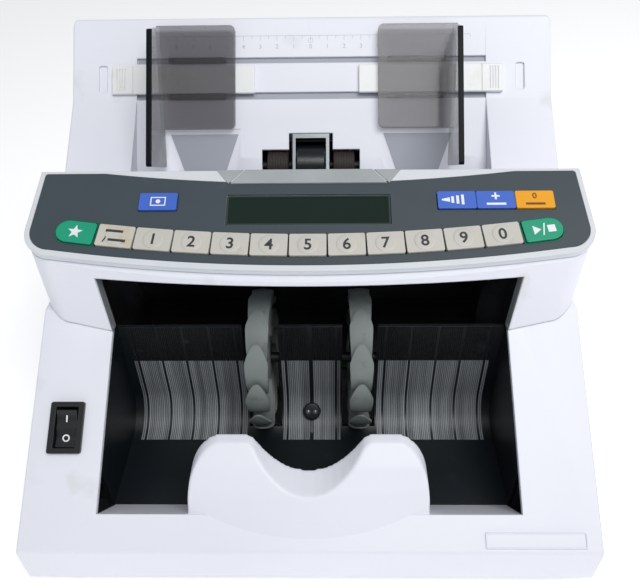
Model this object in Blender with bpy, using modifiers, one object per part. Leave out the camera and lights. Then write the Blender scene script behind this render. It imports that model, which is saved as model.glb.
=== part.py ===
"""Banknote counting machine, modelled as an assembly of separate pieces.

Notes stand in the hopper at the top rear, leaning on its sloping plate between two sliding guides.
Rollers at the foot of the plate feed them one by one past the control panel's ridge, and two vaned
wheels lay them in the stacker pocket at the front.

Lengths are in metres. While the pieces are made, y is counted from the front edge of the base and z
from the table; the empty named machine then centres the whole on the origin.
"""

import math

import bmesh
import bpy
from mathutils import Matrix, Vector

# ---- Driving dimensions -------------------------------------------------------------------------
WIDTH = 0.285
DEPTH = 0.262
HALF_WIDTH = WIDTH / 2
WALL = 0.0025             # moulded covers
GAP = 0.0004              # between neighbouring pieces
SHEET = 0.0020            # steel side frames and bottom plate

# Base: front bar, sloping arms and the level seam under the head.
BASE_BOTTOM = 0.006
FOOT_HEIGHT = 0.0057
FRONT_HEIGHT = 0.030
NECK_Y = 0.1015
SEAM_Z = 0.098
ARM_ANGLE = math.atan2(SEAM_Z - FRONT_HEIGHT, NECK_Y)
BODY_REAR = 0.2517        # where the covers end and the rear cover begins

# Stacker pocket and its two vaned wheels.
POCKET_HALF = 0.105
POCKET_LIP_Y = 0.015
POCKET_LIP_Z = 0.040
POCKET_FLOOR_Y = 0.034
POCKET_FLOOR_Z = 0.018
POCKET_TOP_Z = 0.123
MOUTH_TOP_HALF = 0.109
WHEEL_X = 0.0275
WHEEL_Y = 0.104
WHEEL_Z = 0.059
WHEEL_RADIUS = 0.0405
WHEEL_WIDTH = 0.0145
WHEEL_SLOT = 0.0195
VANES = 12
VANE_PHASE = math.radians(32)

# Control panel: a sloping plane with its own frame of axes, u along the slope and z off its face.
PANEL_Y = 0.107
PANEL_Z = 0.137
PANEL_ANGLE = math.radians(24.28)
PANEL_THICK = 0.004
PANEL_FRONT_U = -0.01536
PANEL_REAR_U = 0.0455
BOW_RADIUS = 0.857        # radius of the front edge and of the key row in plan
CORNER_RADIUS = 0.016
CORNER_U = 0.005
REAR_OVERHANG = 0.0010      # the panel overhangs the base by this much a side at its rear edge
CORNER_OVERHANG = 0.0033    # and by this much at its front corners
HEAD_LEAN = math.radians(12)
HEAD_REAR_Y = 0.1495

KEY_PITCH = 0.0196
KEY_LENGTH = 0.0188
KEY_DEPTH = 0.0125
KEY_RISE = 0.0010
KEY_SKIRT = 0.0035
KEY_ROW_U = -0.00066
STEM_FOOT = 0.0080
GREEN_KEY_LENGTH = 0.0202
GREEN_KEY_X = 0.1189
UPPER_KEY_U = 0.0256
UPPER_KEY_DEPTH = 0.0105
UPPER_KEY_LENGTH = 0.0198
DENSITY_X = -0.0784
FUNCTION_XS = (0.0769, 0.0970, 0.1171)
WINDOW_MARGIN = 0.00045
LCD_LENGTH = 0.0857
LCD_DEPTH = 0.0185
LCD_U = 0.0208

# Hopper: the plate that the notes lean on has its own frame, s down the slope and n off its face.
PLATE_TOP_Y = 0.243
PLATE_TOP_Z = 0.205
PLATE_ANGLE = math.radians(48.5)
WELL_HALF = 0.1038
SHOULDER_FRONT_Z = 0.127
SHOULDER_BREAK = (0.210, 0.168)
GROOVES_S = ((0.0236, 0.0271), (0.0446, 0.0488))
GROOVE_DEPTH = 0.0018
GUIDES_X = {"left": 0.0848, "right": 0.0802}      # inner faces, set for a wide note
GUIDE_REACH = 0.038
GUIDE_THICK = 0.0027
GUIDE_LIFT = 0.003              # clear of the plate, over the carriage
GUIDE_FLARE = 0.005             # the wall leans out where it meets the top of the flange
FLANGE_WIDTH = 0.0405
FLANGE_S = (0.0064, 0.0675)
WALL_BACK_S = (0.0060, 0.0898)
WALL_FRONT_S = (0.0224, 0.0971)
RIB_REACH = 0.0345
CARRIAGE_SPAN = (-0.0517, 0.0332)   # either side of the wall's inner face

# Shafts behind the plate: y, z and the radius of what turns on them.
SHAFT_RADIUS = 0.003
PICKUP = (0.1906, 0.1352)
PICKUP_RADIUS = 0.012
FEED_RADIUS = 0.0088
TRANSPORT = (0.178, 0.106)
TRANSPORT_RADIUS = 0.013
SEPARATOR = (0.1585, 0.109)
SEPARATOR_RADIUS = 0.0062
MOTOR = (0.205, 0.045)
MOTOR_RADIUS = 0.020
FRAME_X = 0.112
PULLEY_RADIUS = 0.010
STACKER_PULLEY_RADIUS = 0.016
MOTOR_PULLEY_RADIUS = 0.008
BELT_THICK = 0.0012
BELT_WIDTH = 0.005

SWITCH_X = -0.124
SWITCH_RUN = 0.060        # distance up the arm from the front edge
ROCKER_TILT = math.radians(9)

# ---- Scene set-up --------------------------------------------------------------------------------
for old in list(bpy.data.objects):
    bpy.data.objects.remove(old, do_unlink=True)

machine_parts = bpy.data.collections.new("banknote_counter")
cutters = bpy.data.collections.new("cutters")
for group in (machine_parts, cutters):
    bpy.context.scene.collection.children.link(group)


def empty(name, location, tilt=0.0, parent=None):
    """An empty whose x axis is level and whose y axis climbs at tilt."""
    marker = bpy.data.objects.new(name, None)
    marker.location = location
    marker.rotation_euler = (tilt, 0, 0)
    marker.parent = parent
    marker.empty_display_size = 0.02
    machine_parts.objects.link(marker)
    return marker


machine = empty("machine", (0, -DEPTH / 2, 0))
panel_frame = empty("panel_frame", (0, PANEL_Y, PANEL_Z), PANEL_ANGLE, machine)
plate_frame = empty("plate_frame", (0, PLATE_TOP_Y, PLATE_TOP_Z), PLATE_ANGLE, machine)
switch_frame = empty("switch_frame",
                     (SWITCH_X,
                      SWITCH_RUN * math.cos(ARM_ANGLE),
                      FRONT_HEIGHT + SWITCH_RUN * math.sin(ARM_ANGLE)),
                     ARM_ANGLE, machine)


def material(name, color, roughness, metallic=0.0, alpha=1.0):
    mat = bpy.data.materials.new(name)
    mat.use_nodes = True
    shader = mat.node_tree.nodes["Principled BSDF"]
    shader.inputs["Base Color"].default_value = (*color, 1)
    shader.inputs["Roughness"].default_value = roughness
    shader.inputs["Metallic"].default_value = metallic
    shader.inputs["Alpha"].default_value = alpha
    mat.diffuse_color = (*color, alpha)
    return mat


WHITE = material("white_housing", (0.84, 0.84, 0.88), 0.45)
RIM = material("panel_rim", (0.52, 0.58, 0.61), 0.45)
SLATE = material("panel_slate", (0.065, 0.088, 0.107), 0.5)
DARK_GLASS = material("display_glass", (0.018, 0.034, 0.030), 0.12)
DISPLAY = material("display_module", (0.10, 0.14, 0.13), 0.4)
BOARD = material("circuit_board", (0.02, 0.16, 0.07), 0.5)
KEY_GREY = material("key_grey", (0.61, 0.58, 0.52), 0.5)
KEY_GREEN = material("key_green", (0.006, 0.35, 0.22), 0.45)
KEY_BLUE = material("key_blue", (0.16, 0.16, 0.62), 0.45)
KEY_AMBER = material("key_amber", (0.91, 0.40, 0.007), 0.45)
BLACK = material("black_plastic", (0.013, 0.015, 0.018), 0.25)
SMOKE = material("smoked_acrylic", (0.16, 0.155, 0.17), 0.08, alpha=0.7)
CREAM = material("carriage_white", (0.82, 0.84, 0.80), 0.4)
STEEL = material("zinc_steel", (0.55, 0.56, 0.57), 0.35, metallic=1.0)
WHEEL_GREY = material("wheel_rubber", (0.21, 0.23, 0.22), 0.7)
RUBBER = material("black_rubber", (0.015, 0.015, 0.016), 0.75)
ROLLER_BROWN = material("feed_rubber", (0.05, 0.032, 0.027), 0.7)
MOTOR_STEEL = material("motor_steel", (0.30, 0.31, 0.33), 0.4, metallic=1.0)


# ---- Modelling helpers ---------------------------------------------------------------------------
SIDE = Matrix(((0, 0, 1), (1, 0, 0), (0, 1, 0)))      # outline (y, z), thickness along x
FRONT = Matrix(((1, 0, 0), (0, 0, -1), (0, 1, 0)))    # outline (x, z), thickness along y
TOP = Matrix.Identity(3)                              # outline (x, y), thickness along z


def finish(mesh, name, mat, parent, pivot, collection=machine_parts):
    """Wrap a mesh as an object whose origin is at pivot, without moving its faces."""
    mesh.transform(Matrix.Translation(-Vector(pivot)))
    return place(mesh, name, mat, parent, pivot, collection)


def place(mesh, name, mat, parent, location, collection=machine_parts):
    mesh.name = name
    mesh.materials.clear()
    mesh.materials.append(mat)
    piece = bpy.data.objects.new(name, mesh)
    piece.location = location
    piece.parent = parent
    collection.objects.link(piece)
    return piece


def tool(piece):
    """Move a helper solid to the cutters, where it isn't a part of the machine."""
    machine_parts.objects.unlink(piece)
    cutters.objects.link(piece)
    piece.hide_render = True
    piece.display_type = "WIRE"
    return piece


def prism(name, outline, centre, thickness, plane=SIDE, mat=WHITE, parent=machine, pivot=(0, 0, 0)):
    """A flat outline made thick, centred at the distance centre along the plane's normal."""
    curve = bpy.data.curves.new(name, "CURVE")
    curve.dimensions = "2D"
    curve.fill_mode = "BOTH"
    curve.extrude = thickness / 2
    spline = curve.splines.new("POLY")
    spline.points.add(len(outline) - 1)
    for point, (across, up) in zip(spline.points, outline):
        point.co = (across, up, 0, 1)
    spline.use_cyclic_u = True
    flat = bpy.data.objects.new(name, curve)
    machine_parts.objects.link(flat)
    mesh = bpy.data.meshes.new_from_object(flat.evaluated_get(bpy.context.evaluated_depsgraph_get()))
    bpy.data.objects.remove(flat, do_unlink=True)
    bpy.data.curves.remove(curve)
    mesh.transform(plane.to_4x4() @ Matrix.Translation((0, 0, centre)))
    weld(mesh)
    return finish(mesh, name, mat, parent, pivot)


def weld(mesh):
    shape = bmesh.new()
    shape.from_mesh(mesh)
    bmesh.ops.remove_doubles(shape, verts=shape.verts, dist=1e-6)
    bmesh.ops.recalc_face_normals(shape, faces=shape.faces)
    if shape.calc_volume(signed=True) < 0:
        bmesh.ops.reverse_faces(shape, faces=shape.faces)
    shape.to_mesh(mesh)
    shape.free()


def box(name, low, high, mat=WHITE, parent=machine, pivot=(0, 0, 0)):
    shape = bmesh.new()
    bmesh.ops.create_cube(shape, size=1.0)
    size = Vector(high) - Vector(low)
    bmesh.ops.scale(shape, verts=shape.verts, vec=size)
    bmesh.ops.translate(shape, verts=shape.verts, vec=(Vector(high) + Vector(low)) / 2)
    mesh = bpy.data.meshes.new(name)
    shape.to_mesh(mesh)
    shape.free()
    return finish(mesh, name, mat, parent, pivot)


def rod(name, centre, radius, x_from, x_to, mat=STEEL, parent=machine, sides=24, pivot=None):
    """A cylinder along x about the axis at centre = (y, z)."""
    shape = bmesh.new()
    middle = Vector(((x_from + x_to) / 2, *centre))
    place = Matrix.Translation(middle) @ Matrix.Rotation(math.pi / 2, 4, "Y")
    bmesh.ops.create_cone(shape, cap_ends=True, segments=sides, radius1=radius, radius2=radius,
                          depth=abs(x_to - x_from), matrix=place)
    mesh = bpy.data.meshes.new(name)
    shape.to_mesh(mesh)
    shape.free()
    smooth(mesh)
    return finish(mesh, name, mat, parent, pivot or (0, *centre))


def turned(name, centre, steps, mat, sides=24):
    """A stepped shaft along x about centre = (y, z): steps are (x, radius) from left to right."""
    profile = [(steps[0][0], 0.0)]
    for (x_start, radius), (x_end, _) in zip(steps, steps[1:]):
        profile += [(x_start, radius), (x_end, radius)]
    profile.append((steps[-1][0], 0.0))
    mesh = bpy.data.meshes.new(name)
    points = [(radius, 0, -x) for x, radius in profile]
    mesh.from_pydata(points, [(i, i + 1) for i in range(len(points) - 1)], [])
    piece = place(mesh, name, mat, machine, (0, *centre))
    piece.rotation_euler = (0, -math.pi / 2, 0)
    screw = piece.modifiers.new("turn", "SCREW")
    screw.steps = sides
    screw.render_steps = sides
    screw.use_merge_vertices = True
    screw.merge_threshold = 1e-5
    return piece


def smooth(mesh):
    mesh.shade_smooth()
    mesh.set_sharp_from_angle(angle=math.radians(35))


def combine(target, other, operation):
    step = target.modifiers.new(operation.lower(), "BOOLEAN")
    step.operation = operation
    step.solver = "EXACT"
    step.object = other
    return target


def cut(target, *others):
    for other in others:
        if other.name in machine_parts.objects:
            tool(other)
        combine(target, other, "DIFFERENCE")
    return target


def join(target, *others):
    for other in others:
        if other.name in machine_parts.objects:
            tool(other)
        combine(target, other, "UNION")
    return target


def bevel(piece, width, segments=1, angle=40):
    step = piece.modifiers.new("round", "BEVEL")
    step.width = width
    step.segments = segments
    step.limit_method = "ANGLE"
    step.angle_limit = math.radians(angle)
    return piece


def rounded(points, radii, steps=4):
    """The outline through points with each corner turned by an arc of its radius."""
    outline = []
    for index, (corner, radius) in enumerate(zip(points, radii)):
        here = Vector(corner)
        back = (Vector(points[index - 1]) - here).normalized()
        ahead = (Vector(points[(index + 1) % len(points)]) - here).normalized()
        if radius == 0:
            outline.append(tuple(here))
            continue
        half_angle = back.angle(ahead) / 2
        centre = here + (back + ahead).normalized() * radius / math.sin(half_angle)
        start = here + back * radius / math.tan(half_angle) - centre
        end = here + ahead * radius / math.tan(half_angle) - centre
        turn = start.angle_signed(end)
        for step in range(steps + 1):
            arm = start.copy()
            arm.rotate(Matrix.Rotation(-turn * step / steps, 2))
            outline.append(tuple(centre + arm))
    return outline


def bow(x):
    """How far an edge bowed towards the front has fallen back at x."""
    return x * x / (2 * BOW_RADIUS)


def slope(y):
    """Height of the arms' top face."""
    return FRONT_HEIGHT + y * math.tan(ARM_ANGLE)


SKIN_DROP = WALL / math.cos(ARM_ANGLE)      # the arms' wall measured straight down


# ---- Base ----------------------------------------------------------------------------------------
STOP_HALF = 0.060
STOP_TOP = (0.0405, 0.0645)      # where the stop's front face meets its rim, on the middle plane
STOP_REAR = (0.0465, 0.0645)
STOP_TOE = (0.003, 0.030)
STOP_BELLY = (0.0195, 0.048)     # the front face bulges a little
STOP_HEEL = (0.0235, 0.029)
STOP_BOW = 0.012                # how far the foot of the stop curves back at its ends


def finger_stop():
    """The bowed paddle in front of the pocket, with a notch for finger and thumb."""
    side = [STOP_TOE, STOP_BELLY, STOP_TOP, STOP_REAR, STOP_HEEL, (0.016, 0.032)]
    wedge = prism("stop_wedge", side, 0, 2 * STOP_HALF)
    shape = bmesh.new()
    shape.from_mesh(wedge.data)
    stations = 12
    for index in range(1, stations):
        x = -STOP_HALF + 2 * STOP_HALF * index / stations
        bmesh.ops.bisect_plane(shape, geom=shape.verts[:] + shape.edges[:] + shape.faces[:],
                               plane_co=(x, 0, 0), plane_no=(1, 0, 0))
    for vert in shape.verts:
        if (Vector((vert.co.y, vert.co.z)) - Vector(STOP_TOE)).length < 1e-5:
            vert.co.y += STOP_BOW * (vert.co.x / STOP_HALF) ** 2
            vert.co.z = slope(vert.co.y) - SKIN_DROP / 2
    shape.to_mesh(wedge.data)
    shape.free()
    notch = [(0.058, 0.080), (0.058, 0.0645), (0.030, 0.0645), (0.016, 0.048),
             (-0.016, 0.048), (-0.030, 0.0645), (-0.058, 0.0645), (-0.058, 0.080)]
    notch_cutter = prism("stop_notch", rounded(notch, (0, 0, 0.008, 0.012, 0.012, 0.008, 0, 0)),
                         -0.03, 0.08, FRONT)
    corner = [(0.061, 0.080), (0.048, 0.080), (0.048, 0.0646), (0.058, 0.0646), (0.061, 0.030)]
    corners = []
    for sign in (-1, 1):
        outline = rounded([(sign * x, z) for x, z in corner], (0, 0, 0, 0.009, 0))
        corners.append(prism("stop_corner", outline, -0.03, 0.08, FRONT))
    return cut(wedge, notch_cutter, *corners)


def base_cover():
    outer = rounded([(0, BASE_BOTTOM), (0, FRONT_HEIGHT), (NECK_Y, SEAM_Z),
                     (BODY_REAR, SEAM_Z), (BODY_REAR, BASE_BOTTOM)], (0, 0.003, 0, 0, 0))
    cover = prism("base_cover", outer, 0, WIDTH)
    bevel(cover, 0.0015, angle=60)
    inner = [(WALL, 0), (WALL, slope(WALL) - SKIN_DROP), (NECK_Y, SEAM_Z - SKIN_DROP),
             (0.26, SEAM_Z - SKIN_DROP), (0.26, 0)]
    cavity = prism("base_cavity", inner, 0, WIDTH - 2 * WALL)
    pocket = prism("pocket_cutter",
                   [(POCKET_LIP_Y, POCKET_LIP_Z), (POCKET_FLOOR_Y, POCKET_FLOOR_Z),
                    (0.12, POCKET_FLOOR_Z), (0.12, 0.12), (POCKET_LIP_Y, 0.12)],
                   0, 2 * POCKET_HALF)
    machinery = box("machinery_cutter", (-0.136, 0.1045, 0.09), (0.136, 0.249, 0.11))
    switch_hole = box("switch_cutter", (-0.0081, -0.0123, -0.008), (0.0081, 0.0123, 0.004),
                      parent=switch_frame)
    cut(cover, cavity, pocket, machinery, switch_hole)
    thick = WALL * 1.2
    ramp = prism("pocket_ramp",
                 [(POCKET_LIP_Y - 0.0015, POCKET_LIP_Z - 0.0014), (POCKET_LIP_Y, POCKET_LIP_Z - 0.0001),
                  (POCKET_FLOOR_Y, POCKET_FLOOR_Z), (POCKET_FLOOR_Y, POCKET_FLOOR_Z - thick),
                  (POCKET_FLOOR_Y - thick, POCKET_FLOOR_Z - thick + 0.001),
                  (POCKET_LIP_Y - thick, POCKET_LIP_Z - thick - 0.0015)],
                 0, 2 * POCKET_HALF - 0.0004)
    return join(cover, ramp, finger_stop())


def feet():
    for side_name, x in (("left", -0.118), ("right", 0.118)):
        for end_name, y in (("front", 0.024), ("rear", 0.228)):
            shape = bmesh.new()
            bmesh.ops.create_cone(shape, cap_ends=True, segments=20, radius1=0.0085, radius2=0.0095,
                                  depth=FOOT_HEIGHT,
                                  matrix=Matrix.Translation((x, y, FOOT_HEIGHT / 2)))
            mesh = bpy.data.meshes.new("foot")
            shape.to_mesh(mesh)
            shape.free()
            smooth(mesh)
            finish(mesh, f"foot_{end_name}_{side_name}", RUBBER, machine, (x, y, 0))


def arc_points(centre, radius, start, end, steps):
    """Points on an arc, angles in degrees."""
    points = []
    for step in range(steps + 1):
        angle = math.radians(start + (end - start) * step / steps)
        points.append((centre[0] + radius * math.cos(angle), centre[1] + radius * math.sin(angle)))
    return points


TROUGH_SHEET = 0.002
TROUGH_BEND_Y = 0.0765          # where the level floor starts to climb
TROUGH_ARC = 0.0205             # radius of the curved back wall
TROUGH_RISE = 88                # degrees that the wall turns through
TROUGH_TOP_Z = 0.088


def trough_wall(offset):
    """The pocket's floor and back wall, seen from the side, at offset behind their visible face."""
    centre = (TROUGH_BEND_Y, POCKET_FLOOR_Z + TROUGH_ARC)
    radius = TROUGH_ARC + offset
    curve = arc_points(centre, radius, -90, -90 + TROUGH_RISE, 8)
    top = curve[-1]
    lean = math.radians(TROUGH_RISE)
    rise = TROUGH_TOP_Z - top[1]
    return [(POCKET_FLOOR_Y + GAP, POCKET_FLOOR_Z - offset), *curve,
            (top[0] + rise / math.tan(lean), TROUGH_TOP_Z)]


def stacker_trough():
    outline = trough_wall(0) + trough_wall(TROUGH_SHEET)[::-1]
    trough = prism("stacker_trough", outline, 0, 2 * POCKET_HALF + 0.001, mat=BLACK)
    drop = SKIN_DROP + 2 * GAP
    cheek = [(POCKET_FLOOR_Y + GAP, POCKET_FLOOR_Z - TROUGH_SHEET),
             (POCKET_FLOOR_Y + GAP, slope(POCKET_FLOOR_Y) - drop),
             (0.086, slope(0.086) - drop), (0.0975, 0.0905), (0.0975, POCKET_FLOOR_Z - TROUGH_SHEET)]
    for side in (-1, 1):
        join(trough, prism("trough_cheek", cheek, side * (POCKET_HALF + 0.0014), TROUGH_SHEET))
        low, high = sorted((side * (POCKET_HALF - GAP), side * 0.115))
        cut(trough, box("cheek_trim", (low, 0.05, 0.0885), (high, 0.15, 0.13)))
    for side in (-1, 1):
        cut(trough, rod("wheel_slot", (WHEEL_Y, WHEEL_Z), WHEEL_RADIUS + 0.003,
                        side * WHEEL_X - WHEEL_SLOT / 2, side * WHEEL_X + WHEEL_SLOT / 2, sides=32))
    cut(trough, rod("axle_hole", (WHEEL_Y, WHEEL_Z), SHAFT_RADIUS + 0.001, -0.12, 0.12, sides=16))
    return trough


NOTE_GUIDE_RADIUS = WHEEL_RADIUS + 0.004
NOTE_GUIDE_MOUTH = (0.152, 0.0985)


def note_guide():
    """The black sheet curved round the back of the wheels, which leads the notes into their vanes."""
    outer = arc_points((WHEEL_Y, WHEEL_Z), NOTE_GUIDE_RADIUS + TROUGH_SHEET, -45, 52, 14)
    inner = arc_points((WHEEL_Y, WHEEL_Z), NOTE_GUIDE_RADIUS, -45, 52, 14)
    y, z = NOTE_GUIDE_MOUTH
    outline = [*outer, (y, z + 0.001), (y, z - 0.001), *inner[::-1]]
    prism("note_guide", outline, 0, 2 * (WELL_HALF - GAP), mat=BLACK)


def sensor_cap():
    """The lens of the pocket's note sensor, just proud of the curved wall."""
    angle = math.radians(-40)
    centre = Vector((TROUGH_BEND_Y, POCKET_FLOOR_Z + TROUGH_ARC))
    outward = Vector((math.cos(angle), math.sin(angle)))
    spot = centre + outward * (TROUGH_ARC - 0.0024)
    shape = bmesh.new()
    tilt = Matrix.Rotation(angle + math.pi / 2, 4, "X")
    bmesh.ops.create_cone(shape, cap_ends=True, segments=20, radius1=0.0052, radius2=0.0044,
                          depth=0.0022, matrix=Matrix.Translation((0, *spot)) @ tilt)
    mesh = bpy.data.meshes.new("sensor_cap")
    shape.to_mesh(mesh)
    shape.free()
    smooth(mesh)
    return finish(mesh, "sensor_cap", BLACK, machine, (0, *spot))


base_cover()
box("bottom_plate", (-0.1395, 0.0031, 0.0066), (0.1395, 0.251, 0.0084), STEEL)
feet()
stacker_trough()
note_guide()
sensor_cap()


# ---- Power switch --------------------------------------------------------------------------------
ROCKER_PIVOT_Z = -0.002


def power_switch():
    bezel = box("switch_bezel", (-0.00865, -0.013, 0.0004), (0.00865, 0.013, 0.002), BLACK, switch_frame)
    bevel(bezel, 0.0005)
    join(bezel, box("switch_body", (-0.0076, -0.0118, -0.012), (0.0076, 0.0118, 0.001),
                    parent=switch_frame))
    cut(bezel, box("switch_mouth", (-0.0057, -0.0103, -0.010), (0.0057, 0.0103, 0.004),
                   parent=switch_frame))
    side = [(-0.0094, 0.0012), (0, 0.0005), (0.0094, 0.0012), (0.0088, -0.0045), (-0.0088, -0.0045)]
    pivot = (0, 0, ROCKER_PIVOT_Z)
    rocker = prism("switch_rocker", side, 0, 0.0104, mat=BLACK, parent=switch_frame, pivot=pivot)
    rocker.rotation_euler = (ROCKER_TILT, 0, 0)
    bevel(rocker, 0.0004)


power_switch()


# ---- Head and control panel ----------------------------------------------------------------------
PANEL_COS = math.cos(PANEL_ANGLE)
PANEL_SIN = math.sin(PANEL_ANGLE)
DECK_DROP = PANEL_THICK + GAP       # the head's top face, measured from the panel's face
KEY_BAND_END = 0.1303
BAND_STEPS = 16


def panel_line(drop):
    """Height of a plane parallel to the panel's face, drop below it."""
    def height(y):
        return PANEL_Z + (y - PANEL_Y) * math.tan(PANEL_ANGLE) - drop / PANEL_COS
    return height


def bowed_outline(half, front, rear, corner, fall=1.0, steps=12):
    """A plan outline with a bowed front edge: front is its y on the middle plane."""
    flat_half = half - corner
    edge = [(-flat_half + 2 * flat_half * i / steps) for i in range(steps + 1)]
    curve = [(x, front + fall * bow(x)) for x in edge]
    tip = front + fall * bow(flat_half)
    right = arc_points((flat_half, tip + corner), corner, -90 + 9, 0, 4)
    left = [(-x, y) for x, y in right[::-1]]
    return [*left, *curve, *right, (half, rear), (-half, rear)]


def flare(u):
    """How much wider than the base the panel is, as a factor, at a point along its slope."""
    share = (PANEL_REAR_U - u) / (PANEL_REAR_U - CORNER_U)
    return 1 + (REAR_OVERHANG + (CORNER_OVERHANG - REAR_OVERHANG) * share) / HALF_WIDTH


def flared(outline):
    return [(x * flare(u), u) for x, u in outline]


def head_block(name, half, front_y, rear_y, corner, bottom, top):
    """A bowed block that leans back and widens from the base's width to the panel's."""
    outline = bowed_outline(half, front_y, rear_y, corner)
    block = prism(name, outline, (bottom + top) / 2, top - bottom, TOP)
    for vert in block.data.vertices:
        panel_height = panel_line(0)(vert.co.y)
        lift = (vert.co.z - SEAM_Z) / (panel_height - SEAM_Z)
        vert.co.x *= 1 + (flare((vert.co.y - PANEL_Y) / PANEL_COS) - 1) * lift
        if vert.co.y < rear_y - 0.001:
            reach = (rear_y - vert.co.y) / (rear_y - front_y)
            vert.co.y += (vert.co.z - PANEL_Z) * math.tan(HEAD_LEAN) * reach
    return block


def above_plane(name, drop, clear=0.09):
    line = panel_line(drop)
    return prism(name, [(0.06, line(0.06)), (0.17, line(0.17)), (0.17, line(0.17) + clear),
                        (0.06, line(0.06) + clear)], 0, 0.32)


def drive_notches(cover):
    """Let the side frames and the belts outside them pass through a cross wall."""
    for side in (-1, 1):
        low, high = sorted((side * 0.1085, side * 0.134))
        cut(cover, box("drive_notch", (low, 0.140, 0.085), (high, 0.156, 0.1215)))


def head_cover():
    front_y = PANEL_Y + PANEL_FRONT_U * PANEL_COS + 0.0006
    block = head_block("head_cover", HALF_WIDTH, front_y, HEAD_REAR_Y, CORNER_RADIUS, 0.080, 0.165)
    block.data.materials[0] = WHITE
    seam = prism("head_seam", [(0.06, slope(0.06) + GAP), (NECK_Y, SEAM_Z + GAP), (0.17, SEAM_Z + GAP),
                               (0.17, 0.04), (0.06, 0.04)], 0, 0.32)
    cut(block, above_plane("head_top", DECK_DROP), seam)
    cavity = head_block("head_cavity", HALF_WIDTH - WALL, front_y + WALL, HEAD_REAR_Y - WALL,
                        CORNER_RADIUS - WALL, 0.070, 0.170)
    cut(cavity, above_plane("cavity_top", DECK_DROP + WALL))
    half_mouth = [(POCKET_HALF, 0.07), (POCKET_HALF, 0.0905), (MOUTH_TOP_HALF, POCKET_TOP_Z)]
    mouth = prism("head_mouth", half_mouth + [(-x, z) for x, z in half_mouth[::-1]], -0.0925, 0.065, FRONT)
    deck = prism("deck_window", bowed_outline(0.131, -0.0095, 0.0345, 0.002), -0.01, 0.02, TOP,
                 parent=panel_frame)
    note_path = box("note_path_cutter", (-POCKET_HALF, 0.140, 0.08), (POCKET_HALF, 0.156, 0.115))
    cut(block, cavity, mouth, deck, note_path)
    drive_notches(block)


def key_band():
    """The bowed window that the number row stands in."""
    reach = KEY_DEPTH / 2 + WINDOW_MARGIN
    xs = [-KEY_BAND_END + 2 * KEY_BAND_END * i / BAND_STEPS for i in range(BAND_STEPS + 1)]
    lower = [(x, KEY_ROW_U + bow(x) - reach) for x in xs]
    upper = [(x, KEY_ROW_U + bow(x) + reach) for x in xs[::-1]]
    return prism("key_band_cutter", lower + upper, 0, 0.03, TOP, parent=panel_frame)


def window(name, x_from, x_to, u, depth):
    return box(name, (x_from, u - depth / 2, -0.015), (x_to, u + depth / 2, 0.015), parent=panel_frame)


def panel_windows():
    half = UPPER_KEY_LENGTH / 2 + WINDOW_MARGIN
    depth = UPPER_KEY_DEPTH + 2 * WINDOW_MARGIN
    return [key_band(),
            window("density_cutter", DENSITY_X - half, DENSITY_X + half, UPPER_KEY_U, depth),
            window("function_cutter", FUNCTION_XS[0] - half, FUNCTION_XS[-1] + half, UPPER_KEY_U, depth),
            window("lcd_cutter", -LCD_LENGTH / 2, LCD_LENGTH / 2, LCD_U, LCD_DEPTH)]


OVERLAY_THICK = 0.0006
RIM_WIDTH = 0.0036
SIDE_RIM = 0.0027


def overlay_outline(grow=0.0):
    half = HALF_WIDTH - SIDE_RIM + grow
    outline = bowed_outline(half, PANEL_FRONT_U + RIM_WIDTH - grow, 0.0439 + grow,
                            CORNER_RADIUS - RIM_WIDTH)
    rear_left, rear_right = (-0.108, 0.0439 + grow), (0.108, 0.0439 + grow)
    dip = [(0.108 - 0.216 * i / 8, 0.037 + 0.0069 * (1 - 2 * i / 8) ** 2 + grow) for i in range(1, 8)]
    return flared([*outline[:-1], rear_right, *dip, rear_left, outline[-1]])


def control_panel():
    outline = flared(bowed_outline(HALF_WIDTH, PANEL_FRONT_U, PANEL_REAR_U, CORNER_RADIUS))
    plate = prism("control_panel", outline, -PANEL_THICK / 2, PANEL_THICK, TOP, RIM, panel_frame)
    bevel(plate, 0.0006)
    recess = prism("overlay_recess", overlay_outline(0.0003), 0, 2 * (OVERLAY_THICK + GAP), TOP,
                   parent=panel_frame)
    overlay = prism("panel_overlay", overlay_outline(), -OVERLAY_THICK / 2, OVERLAY_THICK, TOP, SLATE,
                    panel_frame)
    windows = panel_windows()
    cut(plate, recess, *windows)
    cut(overlay, *windows)


def key_cap(name, x, u, turn, length, depth, mat):
    shape = bmesh.new()
    size = Vector((length, depth, KEY_RISE + KEY_SKIRT))
    bmesh.ops.create_cube(shape, size=1.0)
    bmesh.ops.scale(shape, verts=shape.verts, vec=size)
    bmesh.ops.translate(shape, verts=shape.verts, vec=(0, 0, (KEY_RISE - KEY_SKIRT) / 2))
    mesh = bpy.data.meshes.new(name)
    shape.to_mesh(mesh)
    shape.free()
    key = place(mesh, name, mat, panel_frame, (x, u, 0))
    key.rotation_euler = (0, 0, turn)
    bevel(key, 0.0006)
    stem = box("stem_" + name, (x - 0.0025, u - 0.0025, -STEM_FOOT), (x + 0.0025, u + 0.0025, -0.002),
               parent=panel_frame)
    return join(key, stem)


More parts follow.
